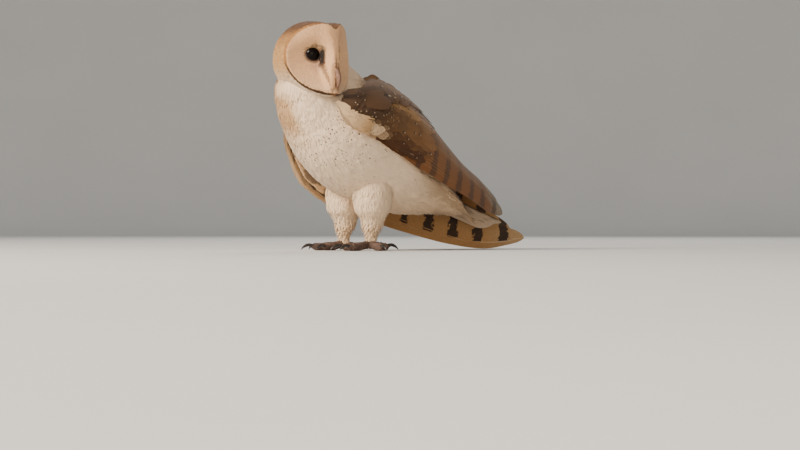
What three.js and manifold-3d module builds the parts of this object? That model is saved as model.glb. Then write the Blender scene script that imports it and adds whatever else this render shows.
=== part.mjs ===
// A barn owl standing still on a level floor, life size, in millimetres, +Z up.
// The body heads along -Y, its left side is +X, and the head looks back over the left shoulder along +X.
// The folded left wing lies close on the back; the right wing hangs a little open, so its long outer feathers
// pass below the tail. Every solid reaches out to the tips of the plumage.
import * as THREE from "three";
import { mergeVertices } from "three/addons/utils/BufferGeometryUtils.js";
import Module from "manifold-3d";

const wasm = await Module();
wasm.setup();

// ---------- driving sizes ----------
const GAP = 0.35; // clearance kept where two solids meet

// Spine stations from inside the head to the tail coverts: y, z of the centre, half width,
// half depth on the belly side and half depth on the back side.
const SPINE = [
  { x: -7, y: -126, z: 204, wide: 31, belly: 36, back: 44 },
  { x: -7, y: -119, z: 186, wide: 37, belly: 46, back: 47 },
  { x: -4, y: -107, z: 163, wide: 45, belly: 54, back: 48 },
  { x: 0, y: -87, z: 139, wide: 54, belly: 60, back: 52 },
  { x: 0, y: -59, z: 116, wide: 57, belly: 59, back: 53 },
  { x: 0, y: -27, z: 98, wide: 53, belly: 51, back: 48 },
  { x: 0, y: 7, z: 82, wide: 44, belly: 39, back: 36 },
  { x: 1, y: 40, z: 66, wide: 31, belly: 25, back: 22 },
  { x: 2, y: 68, z: 52, wide: 21, belly: 13, back: 11 },
  { x: 3, y: 86, z: 43, wide: 12, belly: 4, back: 4 },
];
const NECK_END = 0.235; // share of the spine where the neck meets the trunk
// The neck is drawn in along the far edge of the turned face: share of the spine and its reach, direction of the
// hollow where it starts and its turn along the spine, its reach above and below, and its depth.
const HOLLOW = { at: 0.145, reach: 0.06, start: 0.6, turn: -5, above: 0.3, below: 0.6, depth: 0.46 };

// The head, in its own frame: forward along the face, side towards the owl's right, up.
const HEAD_CENTRE = new THREE.Vector3(0, -125.8, 207);
const SKULL = { forward: 39, side: 41.5, up: 41 }; // half axes of the feathered head
const DISC = {
  side: 41, top: 34.5, bottom: 38, notch: 0.2,
  crest: 46.5, browBack: 3, chinBack: 2.5, setBack: 32.5, dish: 19,
};
const EYE = { forward: 18.5, side: 12.8, up: 3.5, radius: 9 };
// Bill stations from the root to the tip: forward, up, radius.
const UPPER_BILL = [[36, -13, 4], [43.5, -15.5, 4.8], [47, -20.5, 5], [48.6, -26.5, 3.7], [46.4, -34, 0.9]];
const LOWER_BILL = [[35, -21, 3.8], [42, -24, 3.8], [45, -29.5, 1.4]];

// Wing stations from the wrist to the wing tip: the lower (leading) and the upper (inner) edge,
// how far the surface bulges out between them, and how thick the folded feathers are.
const LEFT_WING = [
  { low: [47, -127, 157], high: [34, -108, 170], bulge: 4, thick: 7 },
  { low: [58, -116, 134], high: [24, -80, 180], bulge: 12, thick: 10 },
  { low: [64, -84, 119], high: [13, -48, 187], bulge: 17, thick: 11 },
  { low: [64, -42, 98], high: [9, -16, 177], bulge: 20, thick: 11 },
  { low: [60, -6, 84], high: [7, 14, 157], bulge: 18, thick: 10 },
  { low: [53, 30, 72], high: [6, 46, 129], bulge: 14, thick: 8 },
  { low: [43, 68, 61], high: [6, 78, 102], bulge: 10, thick: 6 },
  { low: [30, 106, 48], high: [6, 108, 85], bulge: 7, thick: 5 },
  { low: [13, 150, 37], high: [7, 146, 59], bulge: 3, thick: 3.5 },
];
const RIGHT_WING = [
  { low: [-52, -120, 138], high: [-37, -106, 166], bulge: 4, thick: 7 },
  { low: [-61, -109, 110], high: [-24, -80, 179], bulge: 12, thick: 10 },
  { low: [-61, -86, 72], high: [-13, -48, 186], bulge: 19, thick: 11 },
  { low: [-56, -44, 47], high: [-9, -14, 176], bulge: 22, thick: 11 },
  { low: [-48, 5, 27], high: [-8, 20, 153], bulge: 18, thick: 9 },
  { low: [-42, 50, 16], high: [-8, 56, 120], bulge: 13, thick: 7 },
  { low: [-35, 100, 7], high: [-9, 98, 81], bulge: 8, thick: 5 },
  { low: [-26, 152, 3.5], high: [-12, 146, 48], bulge: 4, thick: 4 },
  { low: [-16, 212, 11], high: [-14, 200, 28], bulge: 2, thick: 3 },
];
const ARM_END = 0.46; // share of the wing where the covert part meets the flight feathers
const PRIMARY_SHARE = 0.56; // share of the wing's width that the primaries take

const TAIL = {
  rootY: 40, rootZ: 69, tipY: 146, tipZ: 30, rootHalf: 15, tipHalf: 18,
  drift: 3, roll: -0.22, thick: 5, feathers: 3,
};

// Leg stations from the flank to the foot: how far behind the leg's line, height and radius.
const LEG = { side: 24, y: -62 };
const LEG_STATIONS = [[4, 86, 16], [3, 64, 22], [2, 46, 18], [3, 33, 9.5], [1, 18, 7.5], [0, 8, 7]];
const TOES = [
  { name: "inner", turn: -14, length: 29 },
  { name: "middle", turn: 12, length: 33 },
  { name: "outer", turn: 72, length: 28 },
  { name: "hind", turn: 172, length: 17 },
];
const TOE_RADIUS = 4.6;
const CLAW_LENGTH = 14;

// ---------- solids ----------
const v3 = (x, y, z) => new THREE.Vector3(x, y, z);
const mix = (a, b, t) => a + (b - a) * t;
const smooth = (lo, hi, x) => THREE.MathUtils.smoothstep(x, lo, hi);

// A closed surface round an axis: point(u, v) gives rings for 0 < u < 1 that shrink to one point at each end.
function roundSolid(rings, sides, point) {
  const at = [point(0, 0)];
  const faces = [];
  for (let i = 1; i < rings; i++)
    for (let j = 0; j < sides; j++) at.push(point(i / rings, j / sides));
  at.push(point(1, 0));
  const last = at.length - 1;
  const ring = (i, j) => 1 + (i - 1) * sides + (j % sides);
  for (let j = 0; j < sides; j++) {
    faces.push([0, ring(1, j + 1), ring(1, j)]);
    faces.push([last, ring(rings - 1, j), ring(rings - 1, j + 1)]);
    for (let i = 1; i < rings - 1; i++) {
      faces.push([ring(i, j), ring(i, j + 1), ring(i + 1, j)]);
      faces.push([ring(i + 1, j), ring(i, j + 1), ring(i + 1, j + 1)]);
    }
  }
  return solidOf(at, faces);
}

// A closed slab between an outer and an inner sheet that share the same grid.
function slabSolid(rows, columns, outer, inner) {
  const at = [];
  const faces = [];
  for (const sheet of [outer, inner])
    for (let i = 0; i <= rows; i++)
      for (let j = 0; j <= columns; j++) at.push(sheet(i / rows, j / columns));
  const node = (side, i, j) => side * (rows + 1) * (columns + 1) + i * (columns + 1) + j;
  const quad = (a, b, c, d) => faces.push([a, b, c], [a, c, d]);
  for (let i = 0; i < rows; i++)
    for (let j = 0; j < columns; j++) {
      quad(node(0, i, j), node(0, i + 1, j), node(0, i + 1, j + 1), node(0, i, j + 1));
      quad(node(1, i, j), node(1, i, j + 1), node(1, i + 1, j + 1), node(1, i + 1, j));
    }
  for (let i = 0; i < rows; i++) {
    quad(node(0, i, 0), node(1, i, 0), node(1, i + 1, 0), node(0, i + 1, 0));
    quad(node(0, i, columns), node(0, i + 1, columns), node(1, i + 1, columns), node(1, i, columns));
  }
  for (let j = 0; j < columns; j++) {
    quad(node(0, 0, j), node(0, 0, j + 1), node(1, 0, j + 1), node(1, 0, j));
    quad(node(0, rows, j), node(1, rows, j), node(1, rows, j + 1), node(0, rows, j + 1));
  }
  return solidOf(at, faces);
}

// A closed solid between two sheets on one grid that meet all round its border.
function pillowSolid(rows, columns, point) {
  const at = [];
  const faces = [];
  const index = new Map();
  const node = (front, i, j) => {
    const border = i === 0 || j === 0 || i === rows || j === columns;
    const key = `${border || front} ${i} ${j}`;
    if (!index.has(key)) {
      index.set(key, at.length);
      at.push(point(i / rows, j / columns, border || front));
    }
    return index.get(key);
  };
  for (const front of [true, false])
    for (let i = 0; i < rows; i++)
      for (let j = 0; j < columns; j++) {
        const [a, b] = [node(front, i, j), node(front, i, j + 1)];
        const [c, d] = [node(front, i + 1, j + 1), node(front, i + 1, j)];
        const leaning = i < rows / 2 === j < columns / 2;
        const pair = leaning ? [[a, b, c], [a, c, d]] : [[a, b, d], [b, c, d]];
        faces.push(...(front ? pair : pair.map(([p, q, r]) => [p, r, q])));
      }
  return solidOf(at, faces);
}

function solidOf(at, faces) {
  const points = new Float32Array(at.flatMap((p) => [p.x, p.y, p.z]));
  const build = (list) =>
    new wasm.Manifold(
      new wasm.Mesh({ numProp: 3, vertProperties: points, triVerts: new Uint32Array(list.flat()) }),
    );
  const made = build(faces);
  return made.volume() < 0 ? build(faces.map(([a, b, c]) => [a, c, b])) : made;
}

const box = (size, centre, upwards = v3(0, 0, 1)) => {
  const g = new THREE.BoxGeometry(...size);
  g.applyQuaternion(new THREE.Quaternion().setFromUnitVectors(v3(0, 0, 1), upwards)).translate(...centre);
  g.deleteAttribute("normal");
  g.deleteAttribute("uv");
  const m = mergeVertices(g, 1e-3);
  return new wasm.Manifold(
    new wasm.Mesh({ numProp: 3, vertProperties: m.attributes.position.array, triVerts: new Uint32Array(m.index.array) }),
  );
};

const largest = (solid) => solid.decompose().sort((a, b) => b.volume() - a.volume())[0];

// ---------- body ----------
const spineLine = new THREE.CatmullRomCurve3(SPINE.map((s) => v3(s.x, s.y, s.z)), false, "centripetal");
const spineSizes = ["wide", "belly", "back"].map(
  (key) => new THREE.CatmullRomCurve3(SPINE.map((s, i) => v3(i, s[key], 0)), false, "centripetal"),
);

// The body at share t of the spine, at angle a from the owl's left towards its back, grown by the clearance.
function bodyPoint(t, a, grow = 0) {
  const centre = spineLine.getPoint(t);
  const along = spineLine.getTangent(t);
  const up = v3(0, -along.z, along.y);
  const [wide, belly, back] = spineSizes.map((c) => c.getPoint(t).y + grow);
  const depth = Math.sin(a) > 0 ? back : belly;
  const side = Math.sign(Math.cos(a)) * Math.abs(Math.cos(a)) ** 0.92;
  const fromLine = a - HOLLOW.start - HOLLOW.turn * (t - HOLLOW.at);
  const off = THREE.MathUtils.euclideanModulo(fromLine + Math.PI, 2 * Math.PI) - Math.PI;
  const across = Math.exp(-((off / (off > 0 ? HOLLOW.above : HOLLOW.below)) ** 2));
  const out = 1 - HOLLOW.depth * across * Math.exp(-(((t - HOLLOW.at) / HOLLOW.reach) ** 2));
  return centre.add(v3(wide * side * out, 0, 0)).addScaledVector(up, depth * Math.sin(a) * out);
}

function bodyLoft(from, to, rings, sides, grow = 0) {
  return roundSolid(rings, sides, (u, v) => {
    const t = mix(from, to, THREE.MathUtils.clamp((u * rings - 0.5) / (rings - 1), 0, 1));
    if (u === 0 || u === 1) return spineLine.getPoint(t);
    return bodyPoint(t, v * 2 * Math.PI, grow);
  });
}

// ---------- head ----------
// The rim of the face seen from the front: a wide rounded heart with a notch over the bill.
function rimRadius(angle) {
  const c = Math.abs(Math.cos(angle));
  const s = Math.abs(Math.sin(angle));
  const power = Math.sin(angle) > 0 ? 2.25 : 2.15;
  const up = Math.sin(angle) > 0 ? DISC.top : DISC.bottom;
  const radius = ((c / DISC.side) ** power + (s / up) ** power) ** (-1 / power);
  const fromTop = Math.atan2(c, Math.sin(angle));
  return radius * (1 - DISC.notch * Math.exp(-((fromTop / 0.24) ** 2)));
}

// How far forward the face lies: it wraps back to each side and a little at brow and chin, with a deep dish round
// each eye, shallower on the brow, and a ridge between.
function faceForward(side, share, up) {
  const crest = DISC.crest - DISC.browBack * smooth(-4, 28, up) - DISC.chinBack * (1 - smooth(-38, -20, up));
  const wrap = crest - DISC.setBack * (Math.abs(side) / DISC.side) ** 1.5;
  const brow = smooth(2, 26, up);
  const dish = DISC.dish * (1 - 0.8 * brow) * smooth(2.6 + 1.5 * brow, 11 + 7 * brow, Math.abs(side));
  return wrap - dish * (1 - share * share);
}

const headToWorld = (f, s, u) => HEAD_CENTRE.clone().add(v3(f, -s, u));

// Face and back of the head are two sheets that share the rim. Both are laid out on a square folded onto the disc,
// so that one line of the grid follows the ridge of the face.
function headPoint(a, b, front, scale) {
  const across = Math.sign(a) * Math.abs(a) ** 1.3;
  const x = across * Math.sqrt(1 - (b * b) / 2);
  const y = b * Math.sqrt(1 - (across * across) / 2);
  const t = Math.hypot(x, y);
  const angle = Math.atan2(y, x);
  const rim = rimRadius(angle);
  const side = rim * Math.cos(angle);
  const up = rim * Math.sin(angle);
  if (front) return headToWorld(faceForward(t * side, t, t * up) * scale, t * side * scale, t * up * scale);
  const rimForward = faceForward(side, 1, up);
  const turn = mix(Math.PI, Math.atan2(rim, rimForward), t);
  const f = Math.cos(turn);
  const s = Math.sin(turn) * Math.cos(angle);
  const z = Math.sin(turn) * Math.sin(angle);
  const skull = 1 / Math.sqrt((f / SKULL.forward) ** 2 + (s / SKULL.side) ** 2 + (z / SKULL.up) ** 2);
  const reach = mix(Math.hypot(rimForward, rim), skull, smooth(0, 0.27, 1 - t)) * scale;
  return headToWorld(f * reach, s * reach, z * reach);
}

function headSolid(grow = 0) {
  const scale = 1 + grow / 40;
  return pillowSolid(16, 16, (i, j, front) => headPoint(2 * j - 1, 2 * i - 1, front, scale));
}

const eyeCentre = (right) => headToWorld(EYE.forward, right * EYE.side, EYE.up);
const ball = (centre, radius) =>
  roundSolid(7, 11, (u, v) => {
    const [turn, round] = [u * Math.PI, v * 2 * Math.PI];
    const out = v3(Math.cos(turn), Math.sin(turn) * Math.cos(round), Math.sin(turn) * Math.sin(round));
    return centre.clone().addScaledVector(out, radius);
  });

// A tapering round horn along a curve through points, with its radius at each.
function horn(points, radii, rings, sides, grow = 0, flat = 1, reference = v3(0, 0, 1)) {
  const line = new THREE.CatmullRomCurve3(points, false, "centripetal");
  return roundSolid(rings, sides, (u, v) => {
    const t = THREE.MathUtils.clamp((u * rings - 0.4) / (rings - 0.8), 0, 1);
    const along = line.getTangent(t);
    const across = reference.clone().cross(along).normalize();
    const up = along.clone().cross(across).normalize();
    const centre = line.getPoint(t);
    if (u === 0) return centre.addScaledVector(along, -grow);
    if (u === 1) return centre.addScaledVector(along, grow);
    const spot = t * (radii.length - 1);
    const i = Math.min(Math.floor(spot), radii.length - 2);
    const radius = mix(radii[i], radii[i + 1], spot - i) + grow;
    const a = v * 2 * Math.PI;
    return centre.addScaledVector(across, radius * flat * Math.cos(a)).addScaledVector(up, radius * Math.sin(a));
  });
}

const billHorn = (stations, rings, grow) =>
  horn(
    stations.map(([forward, up]) => headToWorld(forward, 0, up)), stations.map(([, , radius]) => radius),
    rings, 10, grow, 1, v3(0, 1, 0),
  );
const upperBill = (grow = 0) => billHorn(UPPER_BILL, 8, grow);
const lowerBill = (grow = 0) => billHorn(LOWER_BILL, 5, grow);

// ---------- wings ----------
function wingSheets(stations) {
  const side = Math.sign(stations[0].low[0]);
  const low = new THREE.CatmullRomCurve3(stations.map((s) => v3(...s.low)), false, "centripetal");
  const high = new THREE.CatmullRomCurve3(stations.map((s) => v3(...s.high)), false, "centripetal");
  const sizes = new THREE.CatmullRomCurve3(stations.map((s, i) => v3(i, s.bulge, s.thick)), false, "centripetal");
  const outer = (u, v, grow = 0) => {
    const a = low.getPoint(u);
    const b = high.getPoint(u);
    const out = low.getTangent(u).cross(b.clone().sub(a)).normalize();
    if (out.x * side < 0) out.negate();
    const bulge = sizes.getPoint(u).y;
    return a.clone().lerp(b, v).addScaledVector(out, bulge * Math.sin(Math.PI * v) ** 0.85 + grow);
  };
  const inner = (u, v, grow = 0) => {
    const a = low.getPoint(u);
    const b = high.getPoint(u);
    const out = low.getTangent(u).cross(b.clone().sub(a)).normalize();
    if (out.x * side < 0) out.negate();
    const thick = sizes.getPoint(u).z;
    const depth = mix(1.2, thick, Math.sin(Math.PI * THREE.MathUtils.clamp(v, 0.02, 0.98)) ** 0.5);
    return outer(u, v).addScaledVector(out, -depth - grow);
  };
  return { outer, inner };
}

// One part of a wing between shares of its length and width. ends(v) shortens the far end, feather by feather.
function wingPart({ outer, inner }, [u0, u1], [v0, v1], rows, columns, ends, grow = 0) {
  const place = (sheet) => (i, j) => {
    const v = mix(v0, v1, j);
    const reach = ends ? ends(j) : 1;
    return sheet(mix(u0, u0 + (u1 - u0) * reach, i), v, grow);
  };
  return slabSolid(rows, columns, place(outer), place(inner));
}

// Rounded feather tips side by side: each next one from the leading edge is shorter by a step.
const featherEnds = (count, step, round) => (j) => {
  const k = Math.min(Math.floor(j * count), count - 1);
  const within = j * count - k - 0.5;
  return 1 - step * k - round * (2 * Math.abs(within)) ** 2.5;
};

// ---------- legs ----------
function legSolid(side, grow = 0) {
  const x = side * LEG.side;
  return horn(
    LEG_STATIONS.map(([back, z]) => v3(x, LEG.y + back, z)), LEG_STATIONS.map(([, , radius]) => radius),
    11, 14, grow, 1, v3(0, 1, 0),
  );
}

function toeParts(side, toe) {
  const heading = THREE.MathUtils.degToRad(-90 + side * toe.turn);
  const ahead = v3(Math.cos(heading), Math.sin(heading), 0);
  const root = v3(side * LEG.side, LEG.y, 0);
  const spot = (out, z) => root.clone().addScaledVector(ahead, out).setZ(z);
  const reach = 5 + toe.length;
  const floor = box([400, 800, 20], [0, 0, -10]);
  const body = (grow) =>
    horn(
      [spot(4, 6), spot(5 + toe.length * 0.4, 5), spot(5 + toe.length * 0.72, 3.5), spot(reach, 4.4)],
      [TOE_RADIUS, TOE_RADIUS * 0.95, TOE_RADIUS, TOE_RADIUS * 0.6], 7, 8, grow, 1,
    );
  const claw = horn(
    [
      spot(reach - 1.5, 5.2), spot(reach + CLAW_LENGTH * 0.35, 6.2),
      spot(reach + CLAW_LENGTH * 0.75, 4), spot(reach + CLAW_LENGTH, 0.8),
    ],
    [2.1, 1.9, 1.3, 0.35], 6, 6, 0, 0.85,
  ).subtract(floor);
  return { toe: largest(body(0).subtract(floor)), grown: body(GAP), claw: largest(claw) };
}

// ---------- assembly ----------
const parts = new Map();
const eyes = { eye_left: ball(eyeCentre(-1), EYE.radius), eye_right: ball(eyeCentre(1), EYE.radius) };
const head = headSolid();
const headGrown = headSolid(GAP);

let headCut = head.subtract(upperBill(GAP)).subtract(lowerBill(GAP));
for (const [name, eye] of Object.entries(eyes)) {
  parts.set(name, eye);
  headCut = headCut.subtract(ball(eyeCentre(name.endsWith("left") ? -1 : 1), EYE.radius + GAP));
}
parts.set("bill_upper", upperBill());
parts.set("bill_lower", largest(lowerBill().subtract(upperBill(GAP))));
parts.set("head", largest(headCut));

const cutPlace = spineLine.getPoint(NECK_END);
const cutAlong = spineLine.getTangent(NECK_END);
// All that lies beyond the cut through the neck, on the side that sign tells.
const halfSpace = (shift, sign) => {
  const normal = cutAlong.clone().multiplyScalar(sign);
  return box([400, 400, 400], cutPlace.clone().addScaledVector(normal, 200 + shift).toArray(), normal);
};
const whole = bodyLoft(0, 1, 20, 28);
const eyesGrown = [-1, 1].map((right) => ball(eyeCentre(right), EYE.radius + GAP));
const headZone = eyesGrown.reduce((all, eye) => all.add(eye), headGrown);
const faceZone = headZone.add(upperBill(GAP)).add(lowerBill(GAP));
const neck = largest(whole.subtract(halfSpace(-GAP / 2, 1)).subtract(faceZone));
const bodyGrown = bodyLoft(0, 1, 20, 28, GAP);

// tail: one thin fan with a rounded tip on each feather
const tailPoint = (u, v, under) => {
  const across = 2 * v - 1;
  const within = v * TAIL.feathers - Math.floor(Math.min(v * TAIL.feathers, TAIL.feathers - 1e-6));
  const tip = 1 - 0.05 * (2 * Math.abs(within - 0.5)) ** 2.5 - 0.04 * across * across;
  const t = u * tip;
  const x = mix(TAIL.rootHalf, TAIL.tipHalf, t) * across;
  const drop = 3 * across * across + TAIL.roll * x;
  const thick = mix(TAIL.thick, 1.8, t) * (1 - 0.6 * across ** 4);
  const z = mix(TAIL.rootZ, TAIL.tipZ, t) - drop - (under ? thick : 0);
  return v3(x + TAIL.drift * t, mix(TAIL.rootY, TAIL.tipY, t), z);
};
const tailWhole = slabSolid(6, 15, (u, v) => tailPoint(u, v, false), (u, v) => tailPoint(u, v, true));
const tail = largest(tailWhole.subtract(bodyGrown));

const trunkWhole = whole.subtract(halfSpace(-GAP / 2, -1));
const legs = {};
for (const [name, side] of [["left", 1], ["right", -1]]) {
  legs[name] = largest(legSolid(side).subtract(bodyGrown));
}
parts.set("neck", neck);
parts.set("trunk", largest(trunkWhole));
parts.set("tail", tail);

const taken = [headZone, bodyGrown];
for (const [name, stations] of [["left", LEFT_WING], ["right", RIGHT_WING]]) {
  const sheets = wingSheets(stations);
  const primaryEnds = featherEnds(3, 0.05, 0.035);
  const secondaryEnds = featherEnds(3, 0.07, 0.04);
  const split = 0.003;
  const pieces = {
    coverts: wingPart(sheets, [0, ARM_END], [0, 1], 9, 10),
    primaries: wingPart(sheets, [ARM_END + split, 1], [0, PRIMARY_SHARE], 7, 12, primaryEnds),
    secondaries: wingPart(sheets, [ARM_END + split, 0.86], [PRIMARY_SHARE + 0.01, 1], 6, 12, secondaryEnds),
  };
  for (const [part, solid] of Object.entries(pieces)) {
    let cut = solid;
    for (const other of taken) cut = cut.subtract(other);
    cut = cut.subtract(tailWhole);
    parts.set(`wing_${name}_${part}`, largest(cut));
  }
}

for (const [name, side] of [["left", 1], ["right", -1]]) {
  const grownLeg = legSolid(side, GAP);
  parts.set(`leg_${name}`, legs[name]);
  let before = grownLeg;
  for (const toe of TOES) {
    const made = toeParts(side, toe);
    parts.set(`toe_${name}_${toe.name}`, largest(made.toe.subtract(before)));
    parts.set(`claw_${name}_${toe.name}`, largest(made.claw.subtract(made.grown)));
    before = before.add(made.grown);
  }
}

// ---------- colours and the exported group ----------
const FINISH = {
  head: ["#d8bfa0", 0.9], neck: ["#d9c3a4", 0.9], trunk: ["#dcc8ad", 0.9], tail: ["#a9814f", 0.85],
  leg: ["#e2d3bd", 0.9], wing: ["#8f6f4b", 0.85], toe: ["#6b5a50", 0.7], claw: ["#1d1917", 0.4],
  bill: ["#c9a692", 0.5], eye: ["#050505", 0.08],
};

function meshOf(name, solid) {
  const { vertProperties, triVerts } = solid.getMesh();
  const geometry = new THREE.BufferGeometry();
  geometry.setAttribute("position", new THREE.BufferAttribute(new Float32Array(vertProperties), 3));
  geometry.setIndex(new THREE.BufferAttribute(new Uint32Array(triVerts), 1));
  geometry.computeVertexNormals();
  const [color, roughness] = FINISH[name.split("_")[0]];
  const mesh = new THREE.Mesh(geometry, new THREE.MeshStandardMaterial({ color, roughness, metalness: 0 }));
  mesh.name = name;
  return mesh;
}

const owl = new THREE.Group();
for (const [name, solid] of parts) owl.add(meshOf(name, solid));
const bounds = new THREE.Box3().setFromObject(owl);
const middle = bounds.getCenter(v3(0, 0, 0));
for (const mesh of owl.children) mesh.position.set(-middle.x, -middle.y, -bounds.min.z);

export default owl;
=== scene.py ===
"""A life-size barn owl standing on a pale floor, its head turned over its left shoulder.

Shapes are worked out in millimetres in the owl's own frame (body heading along -Y, its left +X, up +Z) as
functions of two parameters, then written to meshes in metres. One skin lies under the coat; every feather is
a small mesh laid along the surface that carries it.
"""

import math

import bpy
import numpy as np
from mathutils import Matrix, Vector


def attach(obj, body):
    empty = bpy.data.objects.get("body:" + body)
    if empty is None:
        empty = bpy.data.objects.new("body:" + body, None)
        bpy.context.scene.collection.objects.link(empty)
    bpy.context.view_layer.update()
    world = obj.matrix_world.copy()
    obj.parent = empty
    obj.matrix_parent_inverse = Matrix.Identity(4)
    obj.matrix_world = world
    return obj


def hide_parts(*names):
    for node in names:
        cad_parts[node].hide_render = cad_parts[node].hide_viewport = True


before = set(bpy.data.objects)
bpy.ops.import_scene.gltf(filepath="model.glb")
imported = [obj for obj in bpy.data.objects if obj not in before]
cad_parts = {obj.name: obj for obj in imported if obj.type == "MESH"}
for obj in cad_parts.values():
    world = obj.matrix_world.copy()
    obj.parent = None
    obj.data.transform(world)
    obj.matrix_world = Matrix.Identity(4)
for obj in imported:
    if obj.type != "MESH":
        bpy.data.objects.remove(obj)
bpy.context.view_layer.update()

SHIFT = np.array([0.0, -21.337, 0.0])  # from the owl's frame to the row's, mm
RNG = np.random.default_rng(71)

# Spine stations from inside the head to the tail coverts:
# x, y, z, half width, half depth below, half depth above.
SPINE = np.array([
    [-7, -126, 204, 31, 36, 44],
    [-7, -119, 186, 37, 46, 47],
    [-4, -107, 163, 45, 54, 48],
    [0, -87, 139, 54, 60, 52],
    [0, -59, 116, 57, 59, 53],
    [0, -27, 98, 53, 51, 48],
    [0, 7, 82, 44, 39, 36],
    [1, 40, 66, 31, 25, 22],
    [2, 68, 52, 21, 13, 11],
    [3, 86, 43, 12, 4, 4],
], float)

# The neck is drawn in along the far edge of the turned face: share of the spine and its reach, direction of
# the hollow where it starts and its turn along the spine, its reach above and below, and its depth.
HOLLOW_AT, HOLLOW_REACH, HOLLOW_START, HOLLOW_TURN = 0.145, 0.06, 0.6, -5.0
HOLLOW_ABOVE, HOLLOW_BELOW, HOLLOW_DEPTH = 0.3, 0.6, 0.46

HEAD = np.array([0.0, -125.8, 207.0])
SKULL_FORWARD, SKULL_SIDE, SKULL_UP = 39.0, 41.5, 41.0
DISC_SIDE, DISC_TOP, DISC_BOTTOM, DISC_NOTCH = 41.0, 34.5, 38.0, 0.2
CREST, BROW_BACK, CHIN_BACK, SET_BACK, DISH = 46.5, 3.0, 2.5, 32.5, 19.0
EYE_FORWARD, EYE_SIDE, EYE_UP, EYE_RADIUS = 18.5, 12.8, 3.5, 9.0
EYE_TURN = 0.34  # how far each eye looks out to its own side, radians

# Bill stations from the root to the tip: forward, up, radius.
UPPER_BILL = np.array([
    [36, -13, 3.6],
    [43.5, -15.5, 4.4],
    [47, -20.5, 4.6],
    [48.6, -26.5, 3.4],
    [46.4, -34, 0.8],
])
LOWER_BILL = np.array([[35, -21, 3.6], [42, -24, 3.4], [45, -29.5, 1.2]])

# Wing stations from the wrist to the tip: low edge x, y, z, high edge x, y, z, bulge, thickness.
LEFT_WING = np.array([
    [47, -127, 157, 34, -108, 170, 4, 7],
    [58, -116, 134, 24, -80, 180, 12, 10],
    [64, -84, 119, 13, -48, 187, 17, 11],
    [64, -42, 98, 9, -16, 177, 20, 11],
    [60, -6, 84, 7, 14, 157, 18, 10],
    [53, 30, 72, 6, 46, 129, 14, 8],
    [43, 68, 61, 6, 78, 102, 10, 6],
    [30, 106, 48, 6, 108, 85, 7, 5],
    [13, 150, 37, 7, 146, 59, 3, 3.5],
], float)
RIGHT_WING = np.array([
    [-52, -120, 138, -37, -106, 166, 4, 7],
    [-61, -109, 110, -24, -80, 179, 12, 10],
    [-61, -86, 72, -13, -48, 186, 19, 11],
    [-56, -44, 47, -9, -14, 176, 22, 11],
    [-48, 5, 27, -8, 20, 153, 18, 9],
    [-42, 50, 16, -8, 56, 120, 13, 7],
    [-35, 100, 7, -9, 98, 81, 8, 5],
    [-26, 152, 3.5, -12, 146, 48, 4, 4],
    [-16, 212, 11, -14, 200, 28, 2, 3],
], float)

# The tail's root and tip, its half widths there, and its roll.
TAIL_ROOT, TAIL_TIP = np.array([0.0, 36.0, 70.0]), np.array([3.0, 146.0, 30.0])
TAIL_HALF_ROOT, TAIL_HALF_TIP, TAIL_ROLL = 13.0, 18.0, -0.22

# Leg stations from the thigh to the toes: how far behind the foot, height, radius. Each toe has its turn
# outwards from straight ahead and its length.
LEG_SIDE, LEG_Y = 24.0, -62.0
LEG = np.array([
    [4, 86, 16],
    [3, 64, 22],
    [2, 46, 18],
    [3, 33, 9.5],
    [1, 18, 7.5],
    [0, 8, 7],
], float)
TOES = {"inner": (-14, 29), "middle": (12, 33), "outer": (72, 28), "hind": (172, 17)}
CLAW_LENGTH = 14.0

rad = math.radians
TWO_PI = 2 * math.pi

# How far the skin lies inside the outer form, in mm, and the size of the voxels that merge it, in metres.
COAT_DEPTH = {"body": 4.2, "head": 3.0, "leg": 2.6, "wing": 3.0}
FACE_DEPTH = 2.2
SKIN_VOXEL = 0.0018

FEATHER_PATCH = 0.003  # width of each feather's patch on the bake map
SLOPE_STEP = 1e-3  # step in u and v for slopes

# The floor's flat part and the bend that rises round it, in mm. The camera stands level, its turn in degrees
# from the body's heading, its range and height in metres, its lens in mm for a 36 mm sensor.
FLOOR_FLAT, FLOOR_BEND = 3200, 1500
CAMERA_TURN, CAMERA_RANGE, CAMERA_HEIGHT, CAMERA_LENS = 50, 2.2, 0.028, 88.4


# ---------- numbers and colours ----------
def smooth(low, high, x):
    """Hermite step: 0 below low, 1 above high, 3t^2 - 2t^3 between."""
    t = np.clip((np.asarray(x, float) - low) / (high - low), 0, 1)
    return t * t * (3 - 2 * t)


def lerp(a, b, t):
    """a + (b - a) t."""
    return a + (b - a) * t


def linear(code):
    """Linear RGB of an sRGB hex code: ((c + 0.055) / 1.055)^2.4."""
    c = np.array([int(code[i:i + 2], 16) for i in (1, 3, 5)]) / 255
    return np.where(c <= 0.04045, c / 12.92, ((c + 0.055) / 1.055) ** 2.4)


def blend(a, b, mask):
    """Colour a turning to colour b as the mask goes from 0 to 1, row by row."""
    m = np.asarray(mask, float)[..., None]
    return a * (1 - m) + b * m


def unit(v):
    """v / |v|."""
    return v / np.maximum(np.linalg.norm(v, axis=-1, keepdims=True), 1e-9)


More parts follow.
